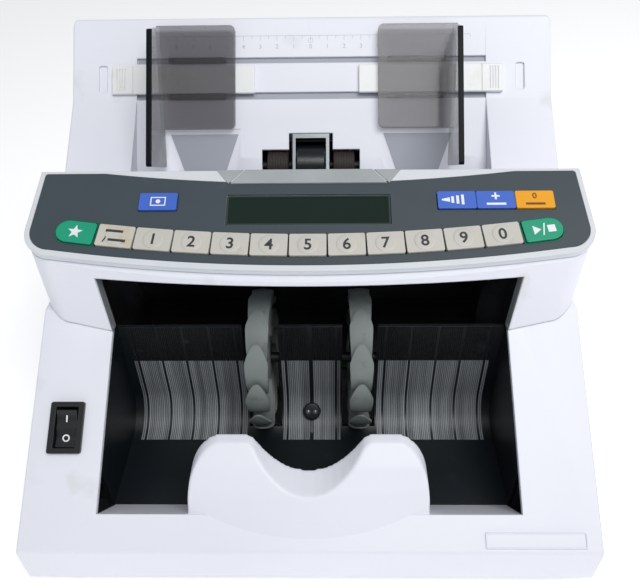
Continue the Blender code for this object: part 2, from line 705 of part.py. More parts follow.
def keys():
    row = ["special", "mode", "1", "2", "3", "4", "5", "6", "7", "8", "9", "0", "start_stop"]
    for index, label in enumerate(row):
        x, length, mat = (index - 6) * KEY_PITCH, KEY_LENGTH, KEY_GREY
        if label in ("special", "start_stop"):
            x, length, mat = math.copysign(GREEN_KEY_X, x), GREEN_KEY_LENGTH, KEY_GREEN
        key_cap("key_" + label, x, KEY_ROW_U + bow(x), math.atan(x / BOW_RADIUS), length, KEY_DEPTH, mat)
    upper = [("density", DENSITY_X, KEY_BLUE), ("speed", FUNCTION_XS[0], KEY_BLUE),
             ("accumulate", FUNCTION_XS[1], KEY_BLUE), ("clear", FUNCTION_XS[2], KEY_AMBER)]
    for label, x, mat in upper:
        key_cap("key_" + label, x, UPPER_KEY_U, 0, UPPER_KEY_LENGTH, UPPER_KEY_DEPTH, mat)


head_cover()
control_panel()
keys()
box("key_board", (-0.128, -0.005, -0.0108), (0.128, 0.0325, -0.0092), BOARD, panel_frame)
box("lcd_window", (-0.0425, LCD_U - 0.0089, -0.0008), (0.0425, LCD_U + 0.0089, 0), DARK_GLASS,
    panel_frame)
box("lcd_module", (-0.046, 0.0085, -0.0088), (0.046, 0.0335, -0.0045), DISPLAY, panel_frame)


# ---- Hopper and rear -----------------------------------------------------------------------------
HOPPER_FRONT_Y = HEAD_REAR_Y + 0.0007
THROAT_Y = 0.1655               # front lip of the plate's foot, where notes drop in
THROAT_Z = 0.118
PLATE_FOOT = (0.1795, 0.1333)   # where the plate's straight slope turns down to the throat
SHOULDER_SLOPE = (SHOULDER_BREAK[1] - SHOULDER_FRONT_Z) / (SHOULDER_BREAK[0] - HOPPER_FRONT_Y)
CROWN = [(PLATE_TOP_Y, PLATE_TOP_Z), (0.2455, 0.2040), (BODY_REAR, 0.1975)]


def plate_point(s, n):
    """World y and z of a point on the plate: s down its slope, n off its face."""
    return (PLATE_TOP_Y - s * math.cos(PLATE_ANGLE) - n * math.sin(PLATE_ANGLE),
            PLATE_TOP_Z - s * math.sin(PLATE_ANGLE) + n * math.cos(PLATE_ANGLE))


def plate_box(name, x_range, s_range, n_range, mat=WHITE, **where):
    """A box laid out in the plate's frame, whose y axis climbs while s runs down."""
    return box(name, (x_range[0], -s_range[1], n_range[0]), (x_range[1], -s_range[0], n_range[1]),
               mat, plate_frame, **where)


def well_outline(wall):
    """The space in front of the hopper plate, grown by wall into the moulding."""
    foot = (PLATE_FOOT[0] + wall * math.sin(PLATE_ANGLE), PLATE_FOOT[1] - wall * math.cos(PLATE_ANGLE))
    top = plate_point(-0.006, -wall)
    return [(0.13, THROAT_Z - wall), (THROAT_Y + wall * 0.6, THROAT_Z - wall), foot, top,
            (top[0], 0.25), (0.13, 0.25)]


def hopper_cover():
    front = [(HOPPER_FRONT_Y, SEAM_Z + GAP), (HOPPER_FRONT_Y, SHOULDER_FRONT_Z), SHOULDER_BREAK]
    outline = [*front, *CROWN, (BODY_REAR, SEAM_Z + GAP)]
    cover = prism("hopper_cover", outline, 0, WIDTH)
    bevel(cover, 0.002, angle=60)
    drop = WALL * 1.2
    inner = [(HOPPER_FRONT_Y + WALL, 0.09), (HOPPER_FRONT_Y + WALL, SHOULDER_FRONT_Z - drop * 0.4),
             (SHOULDER_BREAK[0] + 0.0015, SHOULDER_BREAK[1] - drop * 0.9),
             (PLATE_TOP_Y + 0.0010, PLATE_TOP_Z - 0.0036), (0.26, 0.185), (0.26, 0.09)]
    cavity = prism("hopper_cavity", inner, 0, WIDTH - 2 * WALL)
    cut(cavity, prism("thick_well", well_outline(WALL), 0, 2 * (WELL_HALF + WALL)))
    well = prism("well_cutter", well_outline(0), 0, 2 * WELL_HALF)
    throat = box("throat_cutter", (-WELL_HALF, 0.13, 0.09), (WELL_HALF, THROAT_Y, 0.13))
    cut(cover, cavity, well, throat)
    drive_notches(cover)
    for s_from, s_to in GROOVES_S:
        cut(cover, plate_box("groove_cutter", (-WELL_HALF, WELL_HALF), (s_from, s_to),
                             (-GROOVE_DEPTH, 0.004)))
    cut(cover, plate_box("kicker_cutter", (-0.013, 0.013), (0.0692, 0.125), (-0.03, 0.02)),
        plate_box("feed_cutter", (-0.029, 0.029), (0.0789, 0.125), (-0.03, 0.02)))


VENT_COUNT = 9
INLET_X = -0.095
INLET_Z = 0.032


def rear_cover():
    start = BODY_REAR + GAP
    outline = [(start, BASE_BOTTOM), (DEPTH, BASE_BOTTOM), (DEPTH, 0.150), (0.2575, 0.188),
               (0.2545, 0.1935), (start, 0.1945)]
    cover = prism("rear_cover", outline, 0, WIDTH)
    bevel(cover, 0.002, angle=50)
    inner = [(0.25, BASE_BOTTOM + WALL), (DEPTH - WALL, BASE_BOTTOM + WALL), (DEPTH - WALL, 0.1495),
             (0.2553, 0.187), (0.2535, 0.1915), (0.25, 0.1915)]
    cut(cover, prism("rear_cavity", inner, 0, WIDTH - 2 * WALL))
    for index in range(VENT_COUNT):
        x = -0.032 + 0.008 * index
        cut(cover, box("vent_cutter", (x - 0.0015, 0.255, 0.045), (x + 0.0015, 0.27, 0.085)))
    cut(cover, box("inlet_cutter", (INLET_X - 0.0142, 0.255, INLET_Z - 0.0102),
                   (INLET_X + 0.0142, 0.27, INLET_Z + 0.0102)))


def power_inlet():
    """A three-pin appliance inlet, its mouth facing the rear."""
    half_x, half_z = 0.0138, 0.0098
    body = box("power_inlet", (INLET_X - half_x, 0.243, INLET_Z - half_z),
               (INLET_X + half_x, DEPTH - 0.0004, INLET_Z + half_z), BLACK)
    mouth = [(INLET_X - 0.0118, INLET_Z - 0.0078), (INLET_X + 0.0118, INLET_Z - 0.0078),
             (INLET_X + 0.0118, INLET_Z + 0.0030), (INLET_X + 0.0068, INLET_Z + 0.0078),
             (INLET_X - 0.0068, INLET_Z + 0.0078), (INLET_X - 0.0118, INLET_Z + 0.0030)]
    cut(body, prism("inlet_mouth", mouth, -0.2546, 0.0160, FRONT))
    for x, z in ((-0.007, -0.001), (0.0, 0.003), (0.007, -0.001)):
        join(body, box("inlet_pin", (INLET_X + x - 0.001, 0.244, INLET_Z + z - 0.002),
                       (INLET_X + x + 0.001, 0.2585, INLET_Z + z + 0.002)))


def guide(side_name, side):
    """A smoked guide: a wall standing off the plate, a flange along it and two ribs in its grooves."""
    face = GUIDES_X[side_name]
    wall = plate_box("guide_" + side_name, sorted((side * face, side * (face + GUIDE_THICK))),
                     WALL_BACK_S, (GUIDE_LIFT, GUIDE_REACH), SMOKE)
    for vert in wall.data.vertices:
        is_top = vert.co.y > -0.05
        if vert.co.z > GUIDE_REACH - 1e-4:
            vert.co.y = -WALL_FRONT_S[0] if is_top else -WALL_FRONT_S[1]
        elif is_top:
            vert.co.x += side * GUIDE_FLARE
    flange = plate_box("flange_" + side_name,
                       sorted((side * (face - FLANGE_WIDTH), side * (face + GUIDE_THICK / 2))),
                       FLANGE_S, (GUIDE_LIFT, GUIDE_LIFT + GUIDE_THICK))
    for vert in flange.data.vertices:
        if abs(vert.co.x) > face and vert.co.y > -0.05:
            vert.co.x += side * GUIDE_FLARE
    join(wall, flange)
    for s_from, s_to in ((0.0241, 0.0267), (0.0464, 0.0484)):
        join(wall, plate_box("guide_rib", sorted((side * (face - RIB_REACH), side * (face - 0.0005))),
                             (s_from, s_to), (-0.0013, GUIDE_LIFT + 0.001)))
    carriage = plate_box("carriage_" + side_name, sorted(side * (face + x) for x in CARRIAGE_SPAN),
                         (0.0291, 0.0458), (GAP, GUIDE_LIFT - GAP), CREAM)
    bevel(carriage, 0.0005)


hopper_cover()
rear_cover()
power_inlet()
guide("left", -1)
guide("right", 1)


# ---- Transport: frames, shafts, rollers, wheels and drive ----------------------------------------
PICKUP_WIDTH = 0.0168
FEED_X = 0.0195
FEED_WIDTH = 0.0125
DRUM_X = 0.030
DRUM_WIDTH = 0.016
BELT_FEED_X = 0.1185
BELT_STACKER_X = 0.1265
BELT_PICKUP_X = -0.1185
PULLEY_WIDTH = 0.0055
SHAFT_END = FRAME_X + 0.004


def side_frames():
    outline = [(0.095, 0.009), (0.235, 0.009), (0.235, 0.110), (0.215, 0.125), (0.203, 0.1435),
               (0.186, 0.1435), (0.172, 0.119), (0.1065, 0.118), (0.1065, 0.088), (0.095, 0.084)]
    outline = rounded(outline, [0.003] * len(outline), 2)
    for name, side in (("left", -1), ("right", 1)):
        frame = prism("side_frame_" + name, outline, side * (FRAME_X + SHEET / 2), SHEET, mat=STEEL)
        for centre in (PICKUP, TRANSPORT, SEPARATOR, (WHEEL_Y, WHEEL_Z)):
            cut(frame, rod("bearing_hole", centre, SHAFT_RADIUS + GAP, -0.13, 0.13, sides=24))
        if side > 0:
            cut(frame, rod("motor_hole", MOTOR, 0.006, 0.1, 0.13, sides=24))


def tube(name, centre, radius, bore, x_middle, width, mat, sides=32):
    """A roller that stands on a shaft without touching it."""
    roller = rod(name, centre, radius, x_middle - width / 2, x_middle + width / 2, mat, sides=sides)
    cut(roller, rod("bore_" + name, centre, bore, x_middle - width, x_middle + width, sides=24))
    return roller


def shafts():
    bore = SHAFT_RADIUS + GAP
    end = SHAFT_END
    turned("pickup_shaft", PICKUP,
           [(BELT_PICKUP_X - PULLEY_WIDTH / 2 - 0.002, SHAFT_RADIUS),
            (BELT_PICKUP_X - PULLEY_WIDTH / 2, PULLEY_RADIUS),
            (BELT_PICKUP_X + PULLEY_WIDTH / 2, SHAFT_RADIUS), (end, SHAFT_RADIUS)], STEEL)
    tube("pickup_roller", PICKUP, PICKUP_RADIUS, bore, 0, PICKUP_WIDTH, RUBBER)
    for name, side in (("left", -1), ("right", 1)):
        tube("feed_roller_" + name, PICKUP, FEED_RADIUS, bore, side * FEED_X, FEED_WIDTH, ROLLER_BROWN)
    drum = DRUM_WIDTH / 2
    turned("transport_roller", TRANSPORT,
           [(BELT_PICKUP_X - PULLEY_WIDTH / 2, PULLEY_RADIUS),
            (BELT_PICKUP_X + PULLEY_WIDTH / 2, SHAFT_RADIUS), (-DRUM_X - drum, TRANSPORT_RADIUS),
            (-DRUM_X + drum, SHAFT_RADIUS), (DRUM_X - drum, TRANSPORT_RADIUS),
            (DRUM_X + drum, SHAFT_RADIUS), (BELT_FEED_X - PULLEY_WIDTH / 2, PULLEY_RADIUS),
            (BELT_FEED_X + PULLEY_WIDTH / 2, SHAFT_RADIUS),
            (BELT_STACKER_X - PULLEY_WIDTH / 2, PULLEY_RADIUS),
            (BELT_STACKER_X + PULLEY_WIDTH / 2, SHAFT_RADIUS)], RUBBER)
    turned("separator_roller", SEPARATOR,
           [(-end, SHAFT_RADIUS), (-DRUM_X - drum, SEPARATOR_RADIUS), (-DRUM_X + drum, SHAFT_RADIUS),
            (DRUM_X - drum, SEPARATOR_RADIUS), (DRUM_X + drum, SHAFT_RADIUS), (end, SHAFT_RADIUS)],
           ROLLER_BROWN)
    turned("stacker_shaft", (WHEEL_Y, WHEEL_Z),
           [(-end, SHAFT_RADIUS), (BELT_STACKER_X - PULLEY_WIDTH / 2, STACKER_PULLEY_RADIUS),
            (BELT_STACKER_X + PULLEY_WIDTH / 2, SHAFT_RADIUS)], STEEL, sides=32)


def vane_outline():
    """A hub with curved, swept-back vanes, seen along the shaft."""
    hub, tip = 0.014, WHEEL_RADIUS
    sweep = math.radians(-62)
    thick = math.radians(7)
    points = []
    for vane in range(VANES):
        base = 2 * math.pi * vane / VANES
        lead, trail = [], []
        for step in range(5):
            share = step / 4
            radius = hub + (tip - hub) * share
            angle = base + VANE_PHASE + sweep * share ** 1.6
            half = thick * (1 - 0.62 * share)
            lead.append((radius, angle - half))
            trail.append((radius - 0.0006 * share, angle + half))
        points += lead + trail[::-1]
    return [(radius * math.cos(angle), radius * math.sin(angle)) for radius, angle in points]


def stacker_wheels():
    for name, side in (("left", -1), ("right", 1)):
        outline = [(WHEEL_Y + y, WHEEL_Z + z) for y, z in vane_outline()]
        wheel = prism("stacker_wheel_" + name, outline, side * WHEEL_X, WHEEL_WIDTH, mat=WHEEL_GREY,
                      pivot=(0, WHEEL_Y, WHEEL_Z))
        cut(wheel, rod("wheel_bore", (WHEEL_Y, WHEEL_Z), SHAFT_RADIUS + GAP, -0.06, 0.06))


def pickup_frame():
    """The bright yoke around the pickup roller."""
    half = 0.0112
    yoke = plate_box("pickup_frame", (-half, half), (0.0695, 0.0965), (-0.0034, 0.0015), STEEL)
    cut(yoke, plate_box("yoke_mouth", (-0.0090, 0.0090), (0.0725, 0.12), (-0.01, 0.01)))
    bevel(yoke, 0.0004)


def motor():
    body = rod("main_motor", MOTOR, MOTOR_RADIUS, 0.052, FRAME_X - GAP, MOTOR_STEEL, sides=32)
    join(body, rod("motor_shaft", MOTOR, 0.0025, 0.1, 0.113, sides=24))
    turned("motor_pulley", MOTOR,
           [(0.1136, 0.004), (BELT_FEED_X - PULLEY_WIDTH / 2, MOTOR_PULLEY_RADIUS),
            (BELT_FEED_X + PULLEY_WIDTH / 2, 0.004), (BELT_FEED_X + PULLEY_WIDTH / 2 + 0.002, 0.004)],
           BLACK)


def belt(name, x, first, first_radius, second, second_radius):
    """A flat belt round two pulleys, GAP off their faces."""
    start, end = Vector(first), Vector(second)
    along = end - start
    heading = math.atan2(along.y, along.x)

    def loop(extra):
        one, two = first_radius + extra, second_radius + extra
        spread = math.degrees(math.acos((one - two) / along.length))
        turn = math.degrees(heading)
        far = arc_points(second, two, turn - spread, turn + spread, 10)
        near = arc_points(first, one, turn + spread, turn + 360 - spread, 10)
        return far + near

    band = prism(name, loop(GAP + BELT_THICK), x, BELT_WIDTH, mat=RUBBER)
    return cut(band, prism("inside_" + name, loop(GAP), x, BELT_WIDTH * 2))


side_frames()
shafts()
stacker_wheels()
pickup_frame()
motor()
belt("feed_belt", BELT_FEED_X, MOTOR, MOTOR_PULLEY_RADIUS, TRANSPORT, PULLEY_RADIUS)
belt("stacker_belt", BELT_STACKER_X, TRANSPORT, PULLEY_RADIUS, (WHEEL_Y, WHEEL_Z),
     STACKER_PULLEY_RADIUS)
belt("pickup_belt", BELT_PICKUP_X, TRANSPORT, PULLEY_RADIUS, PICKUP, PULLEY_RADIUS)
box("power_supply", (-0.105, 0.150, 0.012), (-0.030, 0.234, 0.044), MOTOR_STEEL)
box("main_board", (-0.020, 0.142, 0.010), (0.045, 0.234, 0.0116), BOARD)
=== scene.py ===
"""Looks of the banknote counting machine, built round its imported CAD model.

While a piece is made, y is counted from the front edge of the base, as in the CAD; the frame named
WORLD then moves it to where the model stands. PANEL, PLATE and SWITCH are the frames of the sloping
control panel, the hopper plate (y climbs the slope, z stands off its face) and the power switch.
"""

import math

import bmesh
import bpy
from mathutils import Matrix, Vector


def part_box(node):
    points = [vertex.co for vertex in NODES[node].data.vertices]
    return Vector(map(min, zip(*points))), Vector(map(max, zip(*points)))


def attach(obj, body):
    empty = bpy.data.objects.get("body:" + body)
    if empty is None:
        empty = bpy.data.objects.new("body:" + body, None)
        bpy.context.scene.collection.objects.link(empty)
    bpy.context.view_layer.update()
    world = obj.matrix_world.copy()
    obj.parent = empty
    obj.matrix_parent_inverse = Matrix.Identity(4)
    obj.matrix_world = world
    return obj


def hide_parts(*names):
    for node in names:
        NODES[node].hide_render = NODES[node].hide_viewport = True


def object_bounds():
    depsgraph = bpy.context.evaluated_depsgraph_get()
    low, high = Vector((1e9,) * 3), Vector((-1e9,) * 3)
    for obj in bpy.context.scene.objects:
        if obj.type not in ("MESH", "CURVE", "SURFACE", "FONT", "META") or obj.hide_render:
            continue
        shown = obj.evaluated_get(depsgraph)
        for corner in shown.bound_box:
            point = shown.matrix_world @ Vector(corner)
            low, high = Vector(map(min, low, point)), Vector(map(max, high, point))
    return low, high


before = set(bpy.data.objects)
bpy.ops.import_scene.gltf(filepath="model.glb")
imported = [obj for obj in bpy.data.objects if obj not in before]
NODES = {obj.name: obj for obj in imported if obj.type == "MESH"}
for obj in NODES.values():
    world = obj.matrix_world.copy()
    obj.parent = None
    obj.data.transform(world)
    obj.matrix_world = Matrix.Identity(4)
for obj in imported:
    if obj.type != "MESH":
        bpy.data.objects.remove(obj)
CAD_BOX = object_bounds()

# ---- Where things are ----------------------------------------------------------------------------
FRONT_Y = CAD_BOX[0].y
HALF_WIDTH = 0.1425             # of the base; the head and the panel flare out past it
GAP = 0.0004
WALL = 0.0025

FRONT_HEIGHT = 0.030
NECK_Y = 0.1015
SEAM_Z = 0.098
ARM_ANGLE = math.atan2(SEAM_Z - FRONT_HEIGHT, NECK_Y)
SKIN_DROP = WALL / math.cos(ARM_ANGLE)
BASE_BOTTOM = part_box("base_cover")[0].z
BODY_REAR = 0.2517

SIDES = (("left", -1), ("right", 1))
PANEL_AT = (0.107, 0.137)
PANEL_ANGLE = math.radians(24.28)
PANEL_THICK = 0.004
PLATE_ANGLE = math.radians(48.5)
PLATE_TOP = (0.243, 0.205)
SWITCH_RUN = 0.060


def slope(y):
    """Height of the arms' top face."""
    return FRONT_HEIGHT + y * math.tan(ARM_ANGLE)


def frame_at(x, y, z, tilt):
    return Matrix.Translation((x, y + FRONT_Y, z)) @ Matrix.Rotation(tilt, 4, "X")


WORLD = Matrix.Translation((0, FRONT_Y, 0))
PANEL = frame_at(0, *PANEL_AT, PANEL_ANGLE)
PLATE = frame_at(0, *PLATE_TOP, PLATE_ANGLE)
SWITCH = frame_at(-0.124, SWITCH_RUN * math.cos(ARM_ANGLE), slope(SWITCH_RUN * math.cos(ARM_ANGLE)),
                  ARM_ANGLE)


# ---- Materials -----------------------------------------------------------------------------------
def linear(color):
    """A screen colour, 0 to 255, as the linear colour that shaders take."""
    return tuple(((c / 255 + 0.055) / 1.055) ** 2.4 if c > 10 else c / 3295 for c in color)


def node(tree, kind, **settings):
    made = tree.nodes.new("ShaderNode" + kind)
    for key, value in settings.items():
        setattr(made, key, value)
    return made


def noise(tree, coords, scale, detail=3.0, stretch=(1, 1, 1)):
    """Noise in the object's own coordinates, drawn out along an axis by stretch."""
    mapping = node(tree, "Mapping")
    mapping.inputs["Scale"].default_value = stretch
    tree.links.new(coords, mapping.inputs["Vector"])
    texture = node(tree, "TexNoise")
    texture.inputs["Scale"].default_value = scale
    texture.inputs["Detail"].default_value = detail
    tree.links.new(mapping.outputs["Vector"], texture.inputs["Vector"])
    return texture.outputs["Fac"]


def mapped(tree, value, low, high, start=0.3, stop=0.7):
    """The value, which mostly lies between start and stop, spread from low to high."""
    spread = node(tree, "MapRange")
    for name, number in (("From Min", start), ("From Max", stop), ("To Min", low), ("To Max", high)):
        spread.inputs[name].default_value = number
    tree.links.new(value, spread.inputs["Value"])
    return spread.outputs["Result"]


def blend_colors(tree, share, first, second):
    mix = node(tree, "Mix", data_type="RGBA")
    tree.links.new(share, mix.inputs["Factor"])
    for socket, color in zip((mix.inputs[6], mix.inputs[7]), (first, second)):
        if isinstance(color, tuple):
            socket.default_value = (*color[:3], 1)
        else:
            tree.links.new(color, socket)
    return mix.outputs[2]


def surface(name, color, roughness, slot=None, metallic=0.0, mottle=0.06, mottle_scale=35, stain=None,
            grain=0.15, grain_scale=1800, stretch=(1, 1, 1), rounding=0.0, **sockets):
    """A material with cloudy colour, fine grain in its bump and gloss, and rounded-looking edges.

    stain is (color, threshold): patches of it show where a slow noise is above the threshold.
    slot is not used.
    """
    color = linear(color)
    mat = bpy.data.materials.new(name)
    mat.use_nodes = True
    tree = mat.node_tree
    shader = tree.nodes["Principled BSDF"]
    coords = node(tree, "TexCoord").outputs["Object"]
    dark = tuple(c * (1 - mottle) for c in color)
    light = tuple(min(1.0, c * (1 + mottle)) for c in color)
    cloud = noise(tree, coords, mottle_scale, 5, stretch)
    paint = blend_colors(tree, mapped(tree, cloud, 0, 1), dark, light)
    if stain:
        patches = mapped(tree, noise(tree, coords, mottle_scale * 2.2, 6), 0, 0.5, stain[1], stain[1] + 0.12)
        paint = blend_colors(tree, patches, paint, linear(stain[0]))
    tree.links.new(paint, shader.inputs["Base Color"])
    fine = noise(tree, coords, grain_scale, 2, stretch)
    tree.links.new(mapped(tree, fine, roughness * 0.9, min(1.0, roughness * 1.12)),
                   shader.inputs["Roughness"])
    bump = node(tree, "Bump")
    bump.inputs["Strength"].default_value = grain
    bump.inputs["Distance"].default_value = 0.0002
    tree.links.new(fine, bump.inputs["Height"])
    if rounding:
        edge = node(tree, "Bevel", samples=4)
        edge.inputs["Radius"].default_value = rounding
        tree.links.new(edge.outputs["Normal"], bump.inputs["Normal"])
    tree.links.new(bump.outputs["Normal"], shader.inputs["Normal"])
    shader.inputs["Metallic"].default_value = metallic
    for socket, value in sockets.items():
        shader.inputs[socket.replace("_", " ")].default_value = value
    mat.diffuse_color = (*color, 1)
    return mat


WHITE = surface("housing_white", (236, 238, 247), 0.42, "housing", mottle=0.018, mottle_scale=14,
                stain=((205, 204, 200), 0.66), grain=0.10, grain_scale=2600, rounding=0.0009)
RIM = surface("panel_rim", (222, 226, 231), 0.38, mottle=0.02, grain=0.10, rounding=0.0005)
SLATE = surface("panel_film", (63, 74, 81), 0.46, "panel_slate", mottle=0.03, mottle_scale=20, grain=0.22,
                grain_scale=3000, stain=((88, 99, 106), 0.68))
PRINT_EDGE = surface("overlay_print", (40, 50, 57), 0.5, "panel_slate", grain=0.1)
GLASS = surface("display_filter", (24, 40, 33), 0.12, "display_glass", mottle=0.05, mottle_scale=12,
                grain=0.02, Specular_IOR_Level=0.3)
LCD_EDGE = surface("display_edge", (52, 66, 63), 0.25, "display_glass", grain=0.05)
DISPLAY = surface("display_module", (110, 125, 122), 0.4)
BOARD = surface("solder_resist", (22, 92, 55), 0.45, mottle=0.2, mottle_scale=90)
KEY_GREY = surface("key_grey", (203, 200, 192), 0.45, mottle=0.03, mottle_scale=60,
                   stain=((186, 180, 165), 0.62), grain=0.12, rounding=0.0003)
KEY_WORN = surface("key_worn", (205, 201, 190), 0.45, "key_grey", mottle=0.05, mottle_scale=50,
                   stain=((196, 178, 128), 0.52), grain=0.12, rounding=0.0003)
KEY_GREEN = surface("key_green", (22, 160, 122), 0.42, mottle=0.05, grain=0.12, rounding=0.0003)
KEY_BLUE = surface("key_blue", (68, 108, 205), 0.42, mottle=0.05, grain=0.12, rounding=0.0003)
KEY_AMBER = surface("key_amber", (244, 168, 22), 0.42, mottle=0.05, grain=0.12, rounding=0.0003)
INK = surface("dark_ink", (52, 54, 58), 0.5, mottle=0.1, mottle_scale=300, grain=0.08)
WHITE_INK = surface("white_ink", (240, 243, 246), 0.5, mottle=0.03, mottle_scale=300, grain=0.08)
BROWN_INK = surface("brown_ink", (112, 72, 20), 0.5, mottle=0.1, mottle_scale=300, grain=0.08)
BLACK = surface("gloss_black", (12, 19, 25), 0.38, "black_plastic", mottle=0.15, mottle_scale=25,
                grain=0.04, stain=((32, 37, 42), 0.64), rounding=0.0003)
SWITCH_BLACK = surface("switch_black", (30, 33, 36), 0.34, "black_plastic", mottle=0.08, grain=0.12,
                       rounding=0.0003)
SMOKE = surface("smoked_acrylic", (78, 76, 82), 0.12, mottle=0.03, grain=0.02, rounding=0.0003, Alpha=0.43,
                IOR=1.49)
CREAM = surface("carriage_plastic", (238, 240, 240), 0.35, "carriage_white", mottle=0.02, grain=0.08,
                stain=((222, 226, 214), 0.55), rounding=0.0004)
STEEL = surface("zinc_steel", (196, 198, 200), 0.30, metallic=1.0, mottle=0.08, mottle_scale=120,
                grain=0.12, grain_scale=900, stretch=(0.08, 1, 1))
WHEEL = surface("wheel_rubber", (120, 127, 126), 0.62, mottle=0.07, mottle_scale=70, grain=0.3,
                grain_scale=1400, stain=((92, 97, 95), 0.58), rounding=0.0004)
RUBBER = surface("black_rubber", (32, 32, 33), 0.66, mottle=0.12, mottle_scale=90, grain=0.3)
BROWN = surface("feed_rubber", (42, 33, 31), 0.62, mottle=0.15, mottle_scale=120, grain=0.35,
                stain=((60, 48, 43), 0.6))
MOTOR_STEEL = surface("motor_steel", (148, 150, 153), 0.36, metallic=1.0, mottle=0.1, grain=0.12)
RIB_BLACK = surface("ribbed_black", (30, 31, 32), 0.20, "black_plastic", mottle=0.25, mottle_scale=60,
                    grain=0.05, stain=((70, 71, 72), 0.62))
# The black ribbed plastic of the lower wall, made light grey with long streaks: a painted reflection of the
# light on the wall's lit lower part.
RIB_PAINTED_REFLECTION = surface("ribbed_painted_reflection", (142, 146, 149), 0.34, "black_plastic", mottle=0.42, mottle_scale=330,
                   grain=0.05, stretch=(1, 0.03, 0.03))
LENS = surface("sensor_lens", (120, 124, 130), 0.08, "black_plastic", metallic=0.4, grain=0.02)
# Housing plastic made mid grey for the lips inside the pocket's mouth: painted shade.
LIP_PAINTED_SHADE = surface("mouth_lip", (128, 133, 138), 0.5, "housing", mottle=0.03, grain=0.1)
GREEN_PRINT = surface("green_print", (20, 92, 78), 0.45, "key_green", mottle=0.05, grain=0.1)
BRACE = surface("note_brace", (176, 181, 183), 0.30, "panel_rim", mottle=0.06, mottle_scale=60, grain=0.06,
                rounding=0.0003, Alpha=0.9)
# Grey for the floors of the plate's grooves and finger scoops: painted shade on the white housing plastic,
# where these recesses lie in shadow.
PAINTED_SHADE_GREY = surface("painted_recess_shade", (168, 172, 182), 0.5, "housing", mottle=0.03, grain=0.1)
# A darker copy of the zinc steel for the roller yoke: painted shade on the yoke.
YOKE_STEEL = surface("yoke_steel", (122, 126, 130), 0.38, "zinc_steel", metallic=1.0, mottle=0.08,
                     grain=0.12)
RULER_INK = surface("ruler_ink", (196, 199, 206), 0.5, "housing", mottle=0.05, mottle_scale=400, grain=0.05)
EDGE_SMOKE = surface("acrylic_edge", (10, 15, 19), 0.45, "smoked_acrylic", mottle=0.05, grain=0.02,
                     rounding=0.0004, Specular_IOR_Level=0.12)
# Dark strips in the grooves under each guide's flange: painted shadow of the flange.
FLANGE_SHADOW_DARK = surface("flange_shadow_dark", (44, 47, 56), 0.3, "smoked_acrylic", mottle=0.08, grain=0.08)
KICKER = surface("kicker_rubber", (12, 19, 23), 0.30, "black_rubber", mottle=0.12, mottle_scale=150,
                 grain=0.12)
MATT_BLACK = surface("matt_black", (15, 16, 17), 0.55, "black_plastic", mottle=0.2, mottle_scale=40,
                     grain=0.1)
# Steel shafts made near black: painted shade for shafts that lie in shadow inside the machine.
SHAFT_PAINTED_SHADE = surface("shaft_painted_shade", (34, 36, 38), 0.42, metallic=0.6, mottle=0.1, grain=0.1)


# ---- Modelling helpers ---------------------------------------------------------------------------
SIDE = Matrix(((0, 0, 1), (1, 0, 0), (0, 1, 0))).to_4x4()      # outline (y, z), thickness along x
FRONT = Matrix(((1, 0, 0), (0, 0, -1), (0, 1, 0))).to_4x4()    # outline (x, z), thickness along -y
TOP = Matrix.Identity(4)                                       # outline (x, y), thickness along z
SCENE = bpy.context.scene.collection


def thing(name, mesh):
    made = bpy.data.objects.new(name, mesh)
    SCENE.objects.link(made)
    return made


def from_bmesh(name, shape):
    mesh = bpy.data.meshes.new(name)
    shape.to_mesh(mesh)
    shape.free()
    return thing(name, mesh)


def baked(piece):
    """The mesh that an object shows, with its modifiers or its curve worked out."""
    return bpy.data.meshes.new_from_object(piece.evaluated_get(bpy.context.evaluated_depsgraph_get()))


def settle(piece):
    """Make the result of the modifiers the piece's own mesh."""
    mesh = baked(piece)
    piece.modifiers.clear()
    piece.data = mesh
    return piece


def face_out(mesh):
    """Weld a closed mesh and turn its faces outwards."""
    shape = bmesh.new()
    shape.from_mesh(mesh)
    bmesh.ops.remove_doubles(shape, verts=shape.verts, dist=1e-6)
    bmesh.ops.recalc_face_normals(shape, faces=shape.faces)
    if shape.calc_volume(signed=True) < 0:
        bmesh.ops.reverse_faces(shape, faces=shape.faces)
    shape.to_mesh(mesh)
    shape.free()


def prism(outline, low, high, plane=SIDE):
    """A flat outline made thick, from low to high along the plane's normal."""
    curve = bpy.data.curves.new("outline", "CURVE")
    curve.dimensions = "2D"
    curve.fill_mode = "BOTH"
    curve.extrude = (high - low) / 2
    spline = curve.splines.new("POLY")
    spline.points.add(len(outline) - 1)
    for point, (across, up) in zip(spline.points, outline):
        point.co = (across, up, 0, 1)
    spline.use_cyclic_u = True
    flat = thing("outline", curve)
    mesh = baked(flat)
    bpy.data.objects.remove(flat, do_unlink=True)
    bpy.data.curves.remove(curve)
    mesh.transform(plane @ Matrix.Translation((0, 0, (low + high) / 2)))
    face_out(mesh)
    return thing("solid", mesh)


def box(low, high, name="solid"):
    shape = bmesh.new()
    bmesh.ops.create_cube(shape, size=1.0)
    bmesh.ops.scale(shape, verts=shape.verts, vec=Vector(high) - Vector(low))
    bmesh.ops.translate(shape, verts=shape.verts, vec=(Vector(high) + Vector(low)) / 2)
    return from_bmesh(name, shape)


def rod(centre, radius, low, high):
    """A cylinder along x about centre = (y, z)."""
    shape = bmesh.new()
    place = Matrix.Translation(((low + high) / 2, *centre)) @ Matrix.Rotation(math.pi / 2, 4, "Y")
    bmesh.ops.create_cone(shape, cap_ends=True, segments=64, radius1=radius, radius2=radius,
                          depth=high - low, matrix=place)
    return from_bmesh("rod", shape)


